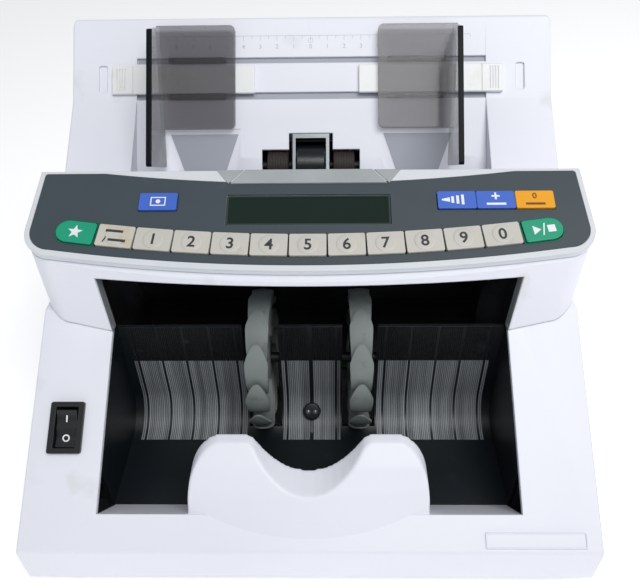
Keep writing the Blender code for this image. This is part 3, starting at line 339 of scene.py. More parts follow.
def lofted(*skins):
    """Closed solids in one mesh. Each is a skin: rings of points, joined ring to ring and capped."""
    shape = bmesh.new()
    for skin in skins:
        rings = [[shape.verts.new(point) for point in ring] for ring in skin]
        for ring, above in zip(rings, rings[1:]):
            for i in range(len(ring)):
                j = (i + 1) % len(ring)
                shape.faces.new((ring[i], ring[j], above[j], above[i]))
        shape.faces.new(rings[0][::-1])
        shape.faces.new(rings[-1])
    bmesh.ops.recalc_face_normals(shape, faces=shape.faces)
    return from_bmesh("solid", shape)


def lathe(profile, place, sides=64):
    """A profile of (distance along the axis, radius) turned about the z axis of place."""
    angles = [2 * math.pi * i / sides for i in range(sides)]
    return lofted([[place @ Vector((radius * math.cos(a), radius * math.sin(a), along)) for a in angles]
                   for along, radius in profile])


def sliced(piece, normal, places):
    """Extra edges where planes across normal meet a piece, so that it can be bent there."""
    shape = bmesh.new()
    shape.from_mesh(piece.data)
    for place in places:
        bmesh.ops.bisect_plane(shape, geom=shape.verts[:] + shape.edges[:] + shape.faces[:],
                               plane_co=Vector(normal) * place, plane_no=normal)
    shape.to_mesh(piece.data)
    shape.free()
    return piece


def combined(target, others, operation):
    for other in others:
        step = target.modifiers.new(operation, "BOOLEAN")
        step.operation = operation
        step.object = other
    settle(target)
    for other in others:
        bpy.data.objects.remove(other, do_unlink=True)
    return target


def cut(target, *others):
    return combined(target, others, "DIFFERENCE")


def join(target, *others):
    return combined(target, others, "UNION")


def gather(target, *others):
    """Put other objects' meshes into the target's without a Boolean."""
    shape = bmesh.new()
    for source in (target, *others):
        shape.from_mesh(source.data)
    shape.to_mesh(target.data)
    shape.free()
    for other in others:
        bpy.data.objects.remove(other, do_unlink=True)
    return target


def bevel(piece, width, segments=3, angle=40):
    step = piece.modifiers.new("round", "BEVEL")
    step.width = width
    step.segments = segments
    step.limit_method = "ANGLE"
    step.angle_limit = math.radians(angle)
    return settle(piece)


def moved(piece, matrix):
    piece.data.transform(matrix)
    return piece


def dress(piece, name, mat, body="chassis", where=WORLD, replaces=None, smooth=35):
    """Put a finished solid in its frame, give it its material and let it ride on its body."""
    piece.name = name
    piece.data.name = name
    piece.data.transform(where)
    piece.data.materials.clear()
    piece.data.materials.append(mat)
    piece.data.shade_smooth()
    piece.data.set_sharp_from_angle(angle=math.radians(smooth))
    even = piece.modifiers.new("even_shading", "WEIGHTED_NORMAL")
    even.keep_sharp = True
    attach(piece, body)
    if replaces:
        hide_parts(replaces)


def rounded(points, radii, steps=6):
    """The outline through points with each corner turned by an arc of its radius."""
    outline = []
    for index, (corner, radius) in enumerate(zip(points, radii)):
        here = Vector(corner)
        back = (Vector(points[index - 1]) - here).normalized()
        ahead = (Vector(points[(index + 1) % len(points)]) - here).normalized()
        if radius == 0:
            outline.append(tuple(here))
            continue
        half_angle = back.angle(ahead) / 2
        centre = here + (back + ahead).normalized() * radius / math.sin(half_angle)
        start = here + back * radius / math.tan(half_angle) - centre
        end = here + ahead * radius / math.tan(half_angle) - centre
        turn = start.angle_signed(end)
        for step in range(steps + 1):
            arm = start.copy()
            arm.rotate(Matrix.Rotation(-turn * step / steps, 2))
            outline.append(tuple(centre + arm))
    return outline


def rectangle(x_from, x_to, y_from, y_to, radius):
    return rounded([(x_from, y_from), (x_to, y_from), (x_to, y_to), (x_from, y_to)], [radius] * 4)


def mirrored(points):
    """Points followed by their mirror images across the middle, in an outline's order."""
    return [*points, *[(-x, y) for x, y in points[::-1]]]


def span(side, near, far):
    """The low and high x of a stretch from near to far on one side of the machine."""
    return sorted((side * near, side * far))


def arc_points(centre, radius, start, end, steps):
    """Points on an arc, angles in degrees."""
    angles = [math.radians(start + (end - start) * step / steps) for step in range(steps + 1)]
    return [(centre[0] + radius * math.cos(a), centre[1] + radius * math.sin(a)) for a in angles]


# ---- Base ----------------------------------------------------------------------------------------
POCKET_HALF = 0.105
POCKET_LIP = (0.015, 0.040)
POCKET_FLOOR = (0.034, 0.018)


def base_cover():
    """The lower housing: front bar, sloping arms, pocket opening and the seat of the switch."""
    side = rounded([(0, BASE_BOTTOM), (0, FRONT_HEIGHT), (NECK_Y, SEAM_Z), (BODY_REAR, SEAM_Z),
                    (BODY_REAR, BASE_BOTTOM)], (0.001, 0.0028, 0, 0, 0))
    cover = bevel(prism(side, -HALF_WIDTH, HALF_WIDTH), 0.0022, 4, 60)
    hollow = [(WALL, 0), (WALL, slope(WALL) - SKIN_DROP), (NECK_Y, SEAM_Z - SKIN_DROP),
              (0.26, SEAM_Z - SKIN_DROP), (0.26, 0)]
    pocket = [POCKET_LIP, POCKET_FLOOR, (0.12, POCKET_FLOOR[1]), (0.12, 0.12), (POCKET_LIP[0], 0.12)]
    switch_hole = moved(box((-0.0081, -0.0123, -0.008), (0.0081, 0.0123, 0.004)), WORLD.inverted() @ SWITCH)
    under_head_and_hopper = box((-0.136, 0.1045, 0.09), (0.136, 0.249, 0.11))
    behind_mouth = box((-0.111, 0.0945, 0.088), (0.111, 0.120, 0.11))
    cut(cover, prism(hollow, WALL - HALF_WIDTH, HALF_WIDTH - WALL), prism(pocket, -POCKET_HALF, POCKET_HALF),
        under_head_and_hopper, switch_hole, behind_mouth)
    thick = WALL * 1.2
    ramp = [(POCKET_LIP[0] - 0.0015, POCKET_LIP[1] - 0.0014), (POCKET_LIP[0], POCKET_LIP[1] - 0.0001),
            POCKET_FLOOR, (POCKET_FLOOR[0], POCKET_FLOOR[1] - thick),
            (POCKET_FLOOR[0] - thick, POCKET_FLOOR[1] - thick + 0.001),
            (POCKET_LIP[0] - thick, POCKET_LIP[1] - thick - 0.0015)]
    join(cover, prism(ramp, 0.0002 - POCKET_HALF, POCKET_HALF - 0.0002))
    dress(cover, "base_shell", WHITE, replaces="base_cover")


STOP_HALF = 0.060
STOP_BOW = 0.012
STOP_TOE = (0.003, 0.0305)
STOP_TOP = 0.0642
STOP_SIDE = [STOP_TOE, (0.0105, 0.0399), (0.0195, 0.0485), (0.0300, 0.0571), (0.0405, STOP_TOP),
             (0.0462, STOP_TOP), (0.0235, 0.029), (0.016, 0.0315)]
NOTCH_HALF = 0.0290
NOTCH_BOTTOM = 0.0482
NOTCH_DEPTH = 0.0158


def finger_stop():
    """The bowed paddle in front of the pocket, notched for finger and thumb."""
    stations = 24
    wedge = sliced(prism(STOP_SIDE, -STOP_HALF, STOP_HALF), (1, 0, 0),
                   [-STOP_HALF + 2 * STOP_HALF * index / stations for index in range(1, stations)])
    for vert in wedge.data.vertices:
        share = max(0.0, (STOP_TOP - vert.co.z) / (STOP_TOP - STOP_TOE[1]))
        if vert.co.y < STOP_SIDE[-1][0] or vert.co.z > 0.034 and vert.co.y < 0.042:
            vert.co.y += STOP_BOW * share ** 2 * (vert.co.x / STOP_HALF) ** 2
        if vert.co.z < 0.0325 and vert.co.y < 0.0158:
            vert.co.z = slope(vert.co.y) - SKIN_DROP / 2
    bowl = [(NOTCH_HALF * t, NOTCH_BOTTOM + NOTCH_DEPTH * t ** 2.2)
            for t in (1, 0.85, 0.7, 0.55, 0.4, 0.25, 0.1)]
    notch = mirrored([(0.058, 0.080), (0.058, NOTCH_BOTTOM + NOTCH_DEPTH), *bowl])
    notch = rounded(notch, (0, 0, 0.0085, *[0] * (2 * len(bowl) - 2), 0.0085, 0, 0))
    corner = [(0.064, 0.080), (0.040, 0.080), (0.040, 0.0643), (0.0578, 0.0643), (0.0615, 0.030)]
    tools = [prism(notch, -0.07, 0.0, FRONT)]
    for _, side in SIDES:
        outline = rounded([(side * x, z) for x, z in corner], (0, 0, 0, 0.0170, 0), 12)
        tools.append(prism(outline, -0.07, 0.0, FRONT))
    cut(wedge, *tools)
    fine = wedge.modifiers.new("remesh", "REMESH")
    fine.mode = "VOXEL"
    fine.voxel_size = 0.0007
    ease = wedge.modifiers.new("ease", "SMOOTH")
    ease.factor = 0.5
    ease.iterations = 9
    settle(wedge)
    dress(wedge, "finger_stop", WHITE, smooth=180)


def nameplate():
    """A blank embossed frame on the right of the front bar."""
    x_middle, half_x, from_y, to_y = 0.1105, 0.0245, 0.0022, 0.0100
    line = 0.0007
    plate = prism(rectangle(-half_x, half_x, from_y, to_y, 0.0008), -0.0004, 0.00045, TOP)
    cut(plate, prism(rectangle(line - half_x, half_x - line, from_y + line, to_y - line, 0.0005),
                     0.0002, 0.002, TOP))
    tilt = Matrix.Translation((x_middle, 0, FRONT_HEIGHT + 0.0002)) @ Matrix.Rotation(ARM_ANGLE, 4, "X")
    dress(moved(plate, tilt), "blank_nameplate", WHITE)


def feet():
    for name in ("front_left", "front_right", "rear_left", "rear_right"):
        low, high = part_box("foot_" + name)
        middle = (low + high) / 2
        wide, tall = (high.x - low.x) / 2, high.z - low.z
        profile = [(0, 0.0035), (0.0006, 0.004), (0.0006, wide * 0.80), (0.0002, wide * 0.86),
                   (0.0009, wide * 0.95), (tall * 0.75, wide), (tall, wide * 0.97), (tall, 0.001)]
        place = Matrix.Translation((middle.x, middle.y, low.z))
        foot = lathe(profile, place, 48)
        dress(foot, "rubber_foot_" + name, RUBBER, where=Matrix(), replaces="foot_" + name)


# ---- Stacker pocket ------------------------------------------------------------------------------
WHEEL_X = 0.0275
WHEEL_AXIS = (0.104, 0.059)
WHEEL_RADIUS = 0.0405
WHEEL_WIDTH = 0.0145
WHEEL_SLOT = 0.0195
TROUGH_BEND_Y = 0.0765
TROUGH_ARC = 0.0205
TROUGH_TOP = 0.088
RIB_PITCH = 0.00106
RIB_HEIGHT = 0.0004
RIBBED_HALF = 0.101
STRIP_PITCH = 0.0140            # the ribs stand in strips this wide, one rib left out between them


def trough_curve(offset):
    """The pocket's curved back wall, from where it leaves the floor to its top, seen from the side."""
    centre = (TROUGH_BEND_Y, POCKET_FLOOR[1] + TROUGH_ARC)
    curve = arc_points(centre, TROUGH_ARC + offset, -90, -2, 16)
    return curve + [(curve[-1][0] + 0.0017, TROUGH_TOP)]


def wheel_slots():
    return [rod(WHEEL_AXIS, WHEEL_RADIUS + 0.003, side * WHEEL_X - WHEEL_SLOT / 2,
                side * WHEEL_X + WHEEL_SLOT / 2) for _, side in SIDES]


def stacker_trough():
    """The pocket's floor, curved back wall and cheeks, in one bent sheet."""
    sheet = 0.002
    floor_start = (POCKET_FLOOR[0] + GAP, POCKET_FLOOR[1])
    behind = [(floor_start[0], floor_start[1] - sheet)] + trough_curve(sheet)
    outline = [floor_start, *trough_curve(0), *behind[::-1]]
    trough = prism(outline, -POCKET_HALF - 0.0005, POCKET_HALF + 0.0005)
    drop = SKIN_DROP + 2 * GAP
    cheek = [(floor_start[0], floor_start[1] - sheet), (floor_start[0], slope(floor_start[0]) - drop),
             (0.086, slope(0.086) - drop), (0.0975, 0.0905), (0.0975, floor_start[1] - sheet)]
    for _, side in SIDES:
        join(trough, prism(cheek, *span(side, POCKET_HALF + 0.0004, POCKET_HALF + 0.0024)))
        low, high = span(side, POCKET_HALF - GAP, 0.115)
        cut(trough, box((low, 0.05, 0.0885), (high, 0.15, 0.13)))
    cut(trough, *wheel_slots(), rod(WHEEL_AXIS, 0.004, -0.12, 0.12))
    dress(trough, "pocket_tray", BLACK, replaces="stacker_trough")


def wall_ribs(name, mat, low, high):
    """Rounded beads that climb the curved wall between two heights, grouped in strips."""
    bends = [Vector(point) for point in trough_curve(-0.0001)]
    dense = [start.lerp(end, i / 4) for start, end in zip(bends, bends[1:]) for i in range(4)]
    path = [point for point in [*dense, bends[-1]] if low <= point.y <= high]
    beads = []
    count = int(RIBBED_HALF * 2 / RIB_PITCH)
    bead = [(-0.40, 0.0), (-0.26, 0.8), (0.0, 1.0), (0.26, 0.8), (0.40, 0.0)]
    for index in range(count):
        x = (index - (count - 1) / 2) * RIB_PITCH
        beside_wheel = abs(abs(x) - WHEEL_X) < WHEEL_SLOT / 2 + RIB_PITCH * 0.4
        between_strips = (abs(x) - WHEEL_X) % STRIP_PITCH < RIB_PITCH * 1.02
        if beside_wheel or between_strips or abs(x) < 0.0012:
            continue
        rows = []
        for step, (y, z) in enumerate(path):
            ahead = Vector(path[min(step + 1, len(path) - 1)]) - Vector(path[max(step - 1, 0)])
            inward = Vector((-ahead.y, ahead.x)).normalized() * RIB_HEIGHT
            rows.append([(x + across * RIB_PITCH, y + inward.x * up, z + inward.y * up)
                         for across, up in bead])
        beads.append(rows)
    dress(lofted(*beads), name, mat, smooth=60)


def note_sensor():
    """The pocket's sensor: a dark cap with two small lenses and a slot below it."""
    angle = math.radians(-40)
    centre = Vector((TROUGH_BEND_Y, POCKET_FLOOR[1] + TROUGH_ARC))

    def on_wall(depth, turn=0.0, x=0.0):
        arm = Vector((math.cos(angle + turn), math.sin(angle + turn)))
        spot = centre + arm * (TROUGH_ARC - depth)
        return Matrix.Translation((x, *spot)) @ Matrix.Rotation(angle + turn + math.pi / 2, 4, "X")

    cap = lathe([(-0.0014, 0.0052), (0.0004, 0.0051), (0.0010, 0.0046), (0.0012, 0.0038), (0.0012, 0.0005)],
                on_wall(0.0022), 48)
    dress(cap, "sensor_housing", BLACK, replaces="sensor_cap")
    for name, x in (("left", -0.0021), ("right", 0.0021)):
        lens = lathe([(0, 0.0014), (0.0005, 0.0013), (0.0009, 0.0008), (0.0010, 0.0001)],
                     on_wall(0.0033, x=x), 24)
        dress(lens, "sensor_lens_" + name, LENS)
    slit = box((-0.0009, -0.0045, -0.0006), (0.0009, 0.0045, 0.0007))
    dress(moved(slit, on_wall(0.0002, -0.42)), "sensor_slit", SWITCH_BLACK)




# ---- Stacker wheels ------------------------------------------------------------------------------
VANES = 12
HUB_RADIUS = 0.0135
VANE_SWEEP = 78                 # degrees from a vane's tip back to its root
VANE_PHASE = 25                 # where the first tip stands above the front horizontal
TIP_ARCH = 15                   # degrees over which the tip narrows to its point
ROOT_TAPER = 0.42               # how much narrower a vane's root is than its tip


def vane_section(back):
    """Radius, half width and thickness of a vane, back degrees behind its tip."""
    share = back / VANE_SWEEP
    radius = WHEEL_RADIUS - (WHEEL_RADIUS - HUB_RADIUS + 0.001) * share ** 2.3
    arch = min(1.0, back / TIP_ARCH)
    half = WHEEL_WIDTH / 2 * (0.10 + 0.84 * arch ** 0.62) * (1 - ROOT_TAPER * share)
    thick = 0.0009 + 0.0013 * min(1.0, back / 22)
    return radius, half, thick


def stacker_wheel(side_name, side):
    """A rubber wheel of swept-back tongues, each lying over the root of the next."""
    vanes = []
    axis_y, axis_z = WHEEL_AXIS
    steps, across = 22, 8
    for vane in range(VANES):
        tip = math.radians(180 - VANE_PHASE - 360 / VANES * vane)
        rows = []
        for step in range(steps + 1):
            back = VANE_SWEEP * (step / steps) ** 1.5
            angle = tip + math.radians(back)
            radius, half, thick = vane_section(back)
            ring = []
            for i in range(across + 1):
                x = half * (2 * i / across - 1)
                crown = 0.0011 * (1 - (x / (WHEEL_WIDTH / 2)) ** 2) - 0.0011
                ring.append((x, radius + crown))
            ring += [(x, r - thick) for x, r in ring[::-1]]
            rows.append([(side * WHEEL_X + x, axis_y + r * math.cos(angle), axis_z + r * math.sin(angle))
                         for x, r in ring])
        vanes.append(rows)
    wheel = lofted(*vanes)
    half = WHEEL_WIDTH / 2 * (1 - ROOT_TAPER)
    hub = lathe([(-half, 0.0034), (-half, HUB_RADIUS - 0.001), (0.001 - half, HUB_RADIUS),
                 (half - 0.001, HUB_RADIUS), (half, HUB_RADIUS - 0.001), (half, 0.0034)],
                Matrix.Translation((side * WHEEL_X, *WHEEL_AXIS)) @ Matrix.Rotation(math.pi / 2, 4, "Y"))
    gather(wheel, hub)
    dress(wheel, "vaned_wheel_" + side_name, WHEEL, "stacker_rotor",
          replaces="stacker_wheel_" + side_name, smooth=50)


base_cover()
finger_stop()
nameplate()
feet()
stacker_trough()
# The lower ribs carry the painted reflection streaks; the upper ribs keep the plain black.
wall_ribs("pocket_wall_ribs", RIB_PAINTED_REFLECTION, 0.0, 0.0630)
wall_ribs("pocket_wall_upper_ribs", RIB_BLACK, 0.0600, 1.0)
note_sensor()
for name, side in SIDES:
    stacker_wheel(name, side)


# ---- Head and control panel ----------------------------------------------------------------------
BOW_RADIUS = 0.857
CORNER_RADIUS = 0.016
CORNER_U = 0.005
REAR_OVERHANG = 0.0010
CORNER_OVERHANG = 0.0033
PANEL_FRONT_U = -0.01536
PANEL_REAR_U = 0.0455
HEAD_REAR_Y = 0.1495
HEAD_LEAN = math.radians(12)
RIM_WIDTH = 0.0036
SIDE_RIM = 0.0027
FILM_THICK = 0.0006


def bow(x):
    """How far an edge bowed towards the front has fallen back at x."""
    return x * x / (2 * BOW_RADIUS)


def panel_line(drop):
    """Height of a plane parallel to the panel's face, drop below it."""
    panel_y, panel_z = PANEL_AT
    return lambda y: panel_z + (y - panel_y) * math.tan(PANEL_ANGLE) - drop / math.cos(PANEL_ANGLE)


def bowed_outline(half, front, rear, corner, steps=36):
    """A plan outline with a bowed front edge: front is its y on the middle plane."""
    flat_half = half - corner
    edge = [-flat_half + 2 * flat_half * i / steps for i in range(steps + 1)]
    right = arc_points((flat_half, front + bow(flat_half) + corner), corner, -81, 0, 10)
    left = [(-x, y) for x, y in right[::-1]]
    return [*left, *[(x, front + bow(x)) for x in edge], *right, (half, rear), (-half, rear)]


def flare(u):
    """How much wider than the base the panel is, as a factor, at a point along its slope."""
    share = (PANEL_REAR_U - u) / (PANEL_REAR_U - CORNER_U)
    return 1 + (REAR_OVERHANG + (CORNER_OVERHANG - REAR_OVERHANG) * share) / HALF_WIDTH


def flared(outline):
    return [(x * flare(u), u) for x, u in outline]


def head_block(inset, levels):
    """A bowed block that leans back and widens from the base's width to the panel's."""
    panel_y, panel_z = PANEL_AT
    front = panel_y + PANEL_FRONT_U * math.cos(PANEL_ANGLE) + 0.0006 + inset
    rear = HEAD_REAR_Y - inset
    rings = []
    for z in levels:
        ring = []
        for x, y in bowed_outline(HALF_WIDTH - inset, front, rear, CORNER_RADIUS - inset):
            lift = (z - SEAM_Z) / (panel_line(0)(y) - SEAM_Z)
            x *= 1 + (flare((y - panel_y) / math.cos(PANEL_ANGLE)) - 1) * lift
            reach = max(0.0, (rear - y) / (rear - front))
            y += (z - panel_z) * math.tan(HEAD_LEAN) * reach
            ring.append((x, y, z))
        rings.append(ring)
    return lofted(rings)


def above_panel(drop):
    line = panel_line(drop)
    return prism([(0.06, line(0.06)), (0.17, line(0.17)), (0.17, 0.25), (0.06, 0.25)], -0.16, 0.16)


def drive_notches():
    """Where the side frames and the belts outside them pass through a cross wall."""
    spans = [span(side, 0.1085, 0.134) for _, side in SIDES]
    return [box((low, 0.140, 0.085), (high, 0.156, 0.1215)) for low, high in spans]


def mouth_lip(side):
    """The turned-in flange along one slanting side of the pocket's mouth."""
    section = ((0, 0), (0.0014, 0), (0.0014, 0.0060), (0, 0.0060))
    ends = ((0.1048, 0.0916, 0.0908), (0.1088, 0.0989, 0.1226))
    return lofted([[(side * (x + across), y + back, z) for across, back in section] for x, y, z in ends])


def head_cover():
    deck_drop = PANEL_THICK + GAP
    head = head_block(0.0, [0.080, 0.0905, 0.100, 0.110, 0.122, 0.134, 0.165])
    seam = [(0.06, slope(0.06) + GAP), (NECK_Y, SEAM_Z + GAP), (0.17, SEAM_Z + GAP), (0.17, 0.04),
            (0.06, 0.04)]
    cavity = head_block(WALL, [0.070, 0.170])
    cut(cavity, above_panel(deck_drop + WALL))
    mouth = prism(mirrored([(POCKET_HALF, 0.07), (POCKET_HALF, 0.0905), (0.109, 0.123)]),
                  -0.125, -0.06, FRONT)
    deck = moved(prism(bowed_outline(0.131, -0.0095, 0.0345, 0.002), -0.02, 0.0, TOP),
                 WORLD.inverted() @ PANEL)
    path = box((-POCKET_HALF, 0.140, 0.08), (POCKET_HALF, 0.156, 0.115))
    cut(head, above_panel(deck_drop), prism(seam, -0.16, 0.16), cavity, mouth, deck, path, *drive_notches())
    dress(head, "head_shell", WHITE, replaces="head_cover")
    # The mouth lips are painted grey as shade inside the mouth.
    for name, side in SIDES:
        dress(mouth_lip(side), "mouth_lip_" + name, LIP_PAINTED_SHADE)


KEY_PITCH = 0.0196
KEY_LENGTH = 0.0188
KEY_DEPTH = 0.0125
KEY_RISE = 0.0010
KEY_ROW_U = -0.00066
KEY_SKIRT = 0.0012
WINDOW_MARGIN = 0.00045
GREEN_X = 0.1189
GREEN_LENGTH = 0.0202
UPPER_U = 0.0256
UPPER_DEPTH = 0.0105
UPPER_LENGTH = 0.0198
DENSITY_X = -0.0784
FUNCTION_XS = (0.0769, 0.0970, 0.1171)
LCD_HALF = 0.04285
LCD_U = 0.0208
LCD_DEPTH = 0.0185


def row_band(margin):
    """The outline round the whole row of number keys, its two ends half round."""
    reach = KEY_DEPTH / 2 + margin
    end = GREEN_X + GREEN_LENGTH / 2 + margin - reach
    xs = [-end + 2 * end * i / 40 for i in range(41)]
    tip_u = KEY_ROW_U + bow(end)
    turn = math.degrees(math.atan(end / BOW_RADIUS))
    right = arc_points((end, tip_u), reach, turn - 90, turn + 90, 14)[1:-1]
    left = arc_points((-end, tip_u), reach, 90 - turn, 270 - turn, 14)[1:-1]
    lower = [(x, KEY_ROW_U + bow(x) - reach) for x in xs]
    upper = [(x, KEY_ROW_U + bow(x) + reach) for x in xs[::-1]]
    return lower + right + upper + left


def plain_window(x_from, x_to, u, depth, corner=0.0008):
    return rectangle(x_from, x_to, u - depth / 2, u + depth / 2, corner)


def panel_windows(low=-0.02, high=0.02):
    half = UPPER_LENGTH / 2 + WINDOW_MARGIN
    depth = UPPER_DEPTH + 2 * WINDOW_MARGIN
    outlines = [row_band(WINDOW_MARGIN), plain_window(DENSITY_X - half, DENSITY_X + half, UPPER_U, depth),
                plain_window(FUNCTION_XS[0] - half, FUNCTION_XS[-1] + half, UPPER_U, depth),
                plain_window(-LCD_HALF, LCD_HALF, LCD_U, LCD_DEPTH, 0.0006)]
    return [prism(outline, low, high, TOP) for outline in outlines]


def film_outline(grow=0.0):
    half = HALF_WIDTH - SIDE_RIM + grow
    outline = bowed_outline(half, PANEL_FRONT_U + RIM_WIDTH - grow, 0.0439 + grow, CORNER_RADIUS - RIM_WIDTH)
    rear_right, rear_left = outline[-2], outline[-1]
    shares = [1 - 2 * i / 16 for i in range(1, 16)]
    dip = [(0.108 * share, 0.037 + 0.0069 * share ** 2 + grow) for share in shares]
    corner_right = [(rear_right[0], rear_right[1] - 0.0009), (rear_right[0] - 0.0009, rear_right[1])]
    corner_left = [(-x, y) for x, y in corner_right[::-1]]
    return flared([*outline[:-2], *corner_right, (0.108, rear_right[1]), *dip, (-0.108, rear_left[1]),
                   *corner_left])


def control_panel():
    outline = flared(bowed_outline(HALF_WIDTH, PANEL_FRONT_U, PANEL_REAR_U, CORNER_RADIUS))
    rim = bevel(prism(outline, -PANEL_THICK, 0, TOP), 0.0014, 4, 60)
    cut(rim, prism(film_outline(0.0002), -FILM_THICK - GAP, 0.01, TOP), *panel_windows())
    dress(rim, "panel_frame_rim", RIM, where=PANEL, replaces="control_panel")
    film = prism(film_outline(), -FILM_THICK, 0, TOP)
    cut(film, *panel_windows())
    dress(film, "panel_film", SLATE, where=PANEL, replaces="panel_overlay")
    beds = [row_band(WINDOW_MARGIN - 0.0002),
            plain_window(FUNCTION_XS[0] - 0.0100, FUNCTION_XS[-1] + 0.0100, UPPER_U, 0.0109),
            plain_window(DENSITY_X - 0.0100, DENSITY_X + 0.0100, UPPER_U, 0.0109)]
    dress(gather(*[prism(bed, -0.0034, -0.0026, TOP) for bed in beds]), "key_bed", PRINT_EDGE, where=PANEL)
    for name, sign in SIDES:
        ring = prism(green_outline(sign, 0.0011), -0.0001, 0.00012, TOP)
        cut(ring, prism(green_outline(sign, WINDOW_MARGIN), -0.001, 0.001, TOP))
        keep = box((0.102 if sign > 0 else -0.14, -0.03, -0.01), (0.14 if sign > 0 else -0.102, 0.03, 0.01))
        combined(ring, [keep], "INTERSECT")
        dress(ring, "green_print_" + name, GREEN_PRINT, where=PANEL)




def green_outline(sign, grow):
    """Plan of a green key: square towards the row, half round at its outer end."""
    turn = sign * math.atan(GREEN_X / BOW_RADIUS)
    half, reach = GREEN_LENGTH / 2 + grow, KEY_DEPTH / 2 + grow
    end = arc_points((half - reach * 0.98, 0), reach * 0.98, -90, 90, 14)
    end[0], end[-1] = (end[0][0], -reach), (end[-1][0], reach)
    outline = [(-half + 0.0008, -reach), *end, (-half + 0.0008, reach), (-half, reach - 0.0008),
               (-half, -reach + 0.0008)]
    spin = Matrix.Rotation(turn, 2)
    points = [spin @ Vector((sign * x, y)) for x, y in outline]
    return [(p.x + sign * GREEN_X, p.y + KEY_ROW_U + bow(GREEN_X)) for p in points]


def display():
    """The filter window over the display, set down a little in its opening, and its inner border."""
    half, reach = LCD_HALF - 0.0003, LCD_DEPTH / 2 - 0.0003
    glass = prism(plain_window(-half, half, LCD_U, 2 * reach, 0.0005), -0.0017, -0.0009, TOP)
    dress(bevel(glass, 0.0001, 2, 60), "display_filter", GLASS, where=PANEL, replaces="lcd_window")
    border = prism(plain_window(-half, half, LCD_U, 2 * reach, 0.0005), -0.00089, -0.0006, TOP)
    cut(border, prism(plain_window(0.0009 - half, half - 0.0009, LCD_U, 2 * reach - 0.0018, 0.0005),
                      -0.01, 0.01, TOP))
    dress(border, "display_border", LCD_EDGE, where=PANEL)


def note_brace():
    """The clear grey strip let into the rim behind the display."""
    ends = [(-0.0415, 0.0368), (0.0415, 0.0368), (0.0340, 0.0455), (-0.0340, 0.0455)]
    strip = bevel(prism(ends, -0.0002, 0.0009, TOP), 0.0003, 2, 60)
    dress(strip, "note_brace", BRACE, where=PANEL)
    for name, side in SIDES:
        wedge = [(side * 0.0350, 0.0455), (side * 0.0425, 0.0370), (side * 0.0490, 0.0455)]
        flat = prism(wedge, -0.0002, 0.0005, TOP)
        dress(flat, "brace_end_" + name, BRACE, where=PANEL)


# ---- Keys and what is printed on them ------------------------------------------------------------
INK_THICK = 0.00006
FONT_CAP = 0.72                 # height of a figure in the font, as a share of its size


def digit(text, height, bold=0.00022):
    """A figure as a thin solid, centred on the origin."""
    curve = bpy.data.curves.new("figure", "FONT")
    curve.body = text
    curve.size = height / FONT_CAP
    curve.offset = bold * 0.6
    curve.extrude = INK_THICK / 2
    curve.align_x = "CENTER"
    curve.align_y = "CENTER"
    made = thing("figure", curve)
    mesh = baked(made)
    bpy.data.objects.remove(made, do_unlink=True)
    face_out(mesh)
    xs = [v.co.x for v in mesh.vertices]
    ys = [v.co.y for v in mesh.vertices]
    middle = Vector(((min(xs) + max(xs)) / 2, (min(ys) + max(ys)) / 2, 0))
    mesh.transform(Matrix.Translation(-middle))
    return thing("figure", mesh)


def printed(*outlines):
    marks = [prism(outline, -INK_THICK / 2, INK_THICK / 2, TOP) for outline in outlines]
    return gather(*marks)


def bar(x, y, length, height, lean=0.0):
    return [(x - length / 2 - lean, y - height / 2), (x + length / 2 - lean, y - height / 2),
            (x + length / 2 + lean, y + height / 2), (x - length / 2 + lean, y + height / 2)]


def star(radius, tips=5):
    arms = [(radius if i % 2 == 0 else radius * 0.42, math.pi / 2 + math.pi * i / tips)
            for i in range(2 * tips)]
    return [(r * math.cos(a), r * math.sin(a)) for r, a in arms]


def frame_marks(half_x, half_y, line):
    """The four sides of a rectangle, for the sign of a banknote."""
    return [bar(0, side * (half_y - line / 2), 2 * half_x, line) for side in (-1, 1)] + \
           [bar(side * (half_x - line / 2), 0, line, 2 * (half_y - line)) for side in (-1, 1)]


def key_marks(label):
    """What is printed on a key, and its ink."""
    if label.isdigit():
        return digit(label, 0.0062, 0.00028), INK
    if label == "special":
        return printed(star(0.0040)), WHITE_INK
    if label == "start_stop":
        play = [(-0.0052, -0.0026), (-0.0012, 0.0), (-0.0052, 0.0026)]
        stroke, stop = bar(0.0002, 0, 0.0007, 0.0068, 0.0009), bar(0.0042, 0, 0.0040, 0.0040)
        return printed(play, stroke, stop), WHITE_INK
    if label == "mode":
        return printed(bar(-0.0008, 0.0026, 0.0090, 0.0014), bar(0.0014, -0.0026, 0.0090, 0.0014),
                       bar(-0.0050, -0.0026, 0.0006, 0.0030, 0.0006)), INK
    if label == "density":
        disc = arc_points((0, 0), 0.00125, 0, 345, 23)
        return printed(*frame_marks(0.0040, 0.0027, 0.0006), disc), WHITE_INK
    if label == "speed":
        wedge = [(-0.0078, -0.0004), (-0.0036, -0.0014), (-0.0036, 0.0014), (-0.0078, 0.0004)]
        bars = [bar(-0.0022 + 0.0026 * i, 0, 0.0014, 0.0040 + 0.0010 * i) for i in range(3)]
        return printed(wedge, *bars), WHITE_INK
    if label == "accumulate":
        return printed(bar(0, 0.0021, 0.0042, 0.0010), bar(0, 0.0034, 0.0010, 0.0016),
                       bar(0, 0.0008, 0.0010, 0.0016), bar(0, -0.0027, 0.0100, 0.0013)), WHITE_INK
    ring = moved(digit("0", 0.0034, 0.00016), Matrix.Translation((0, 0.0022, 0)))
    return gather(ring, printed(bar(0, -0.0027, 0.0100, 0.0013))), BROWN_INK


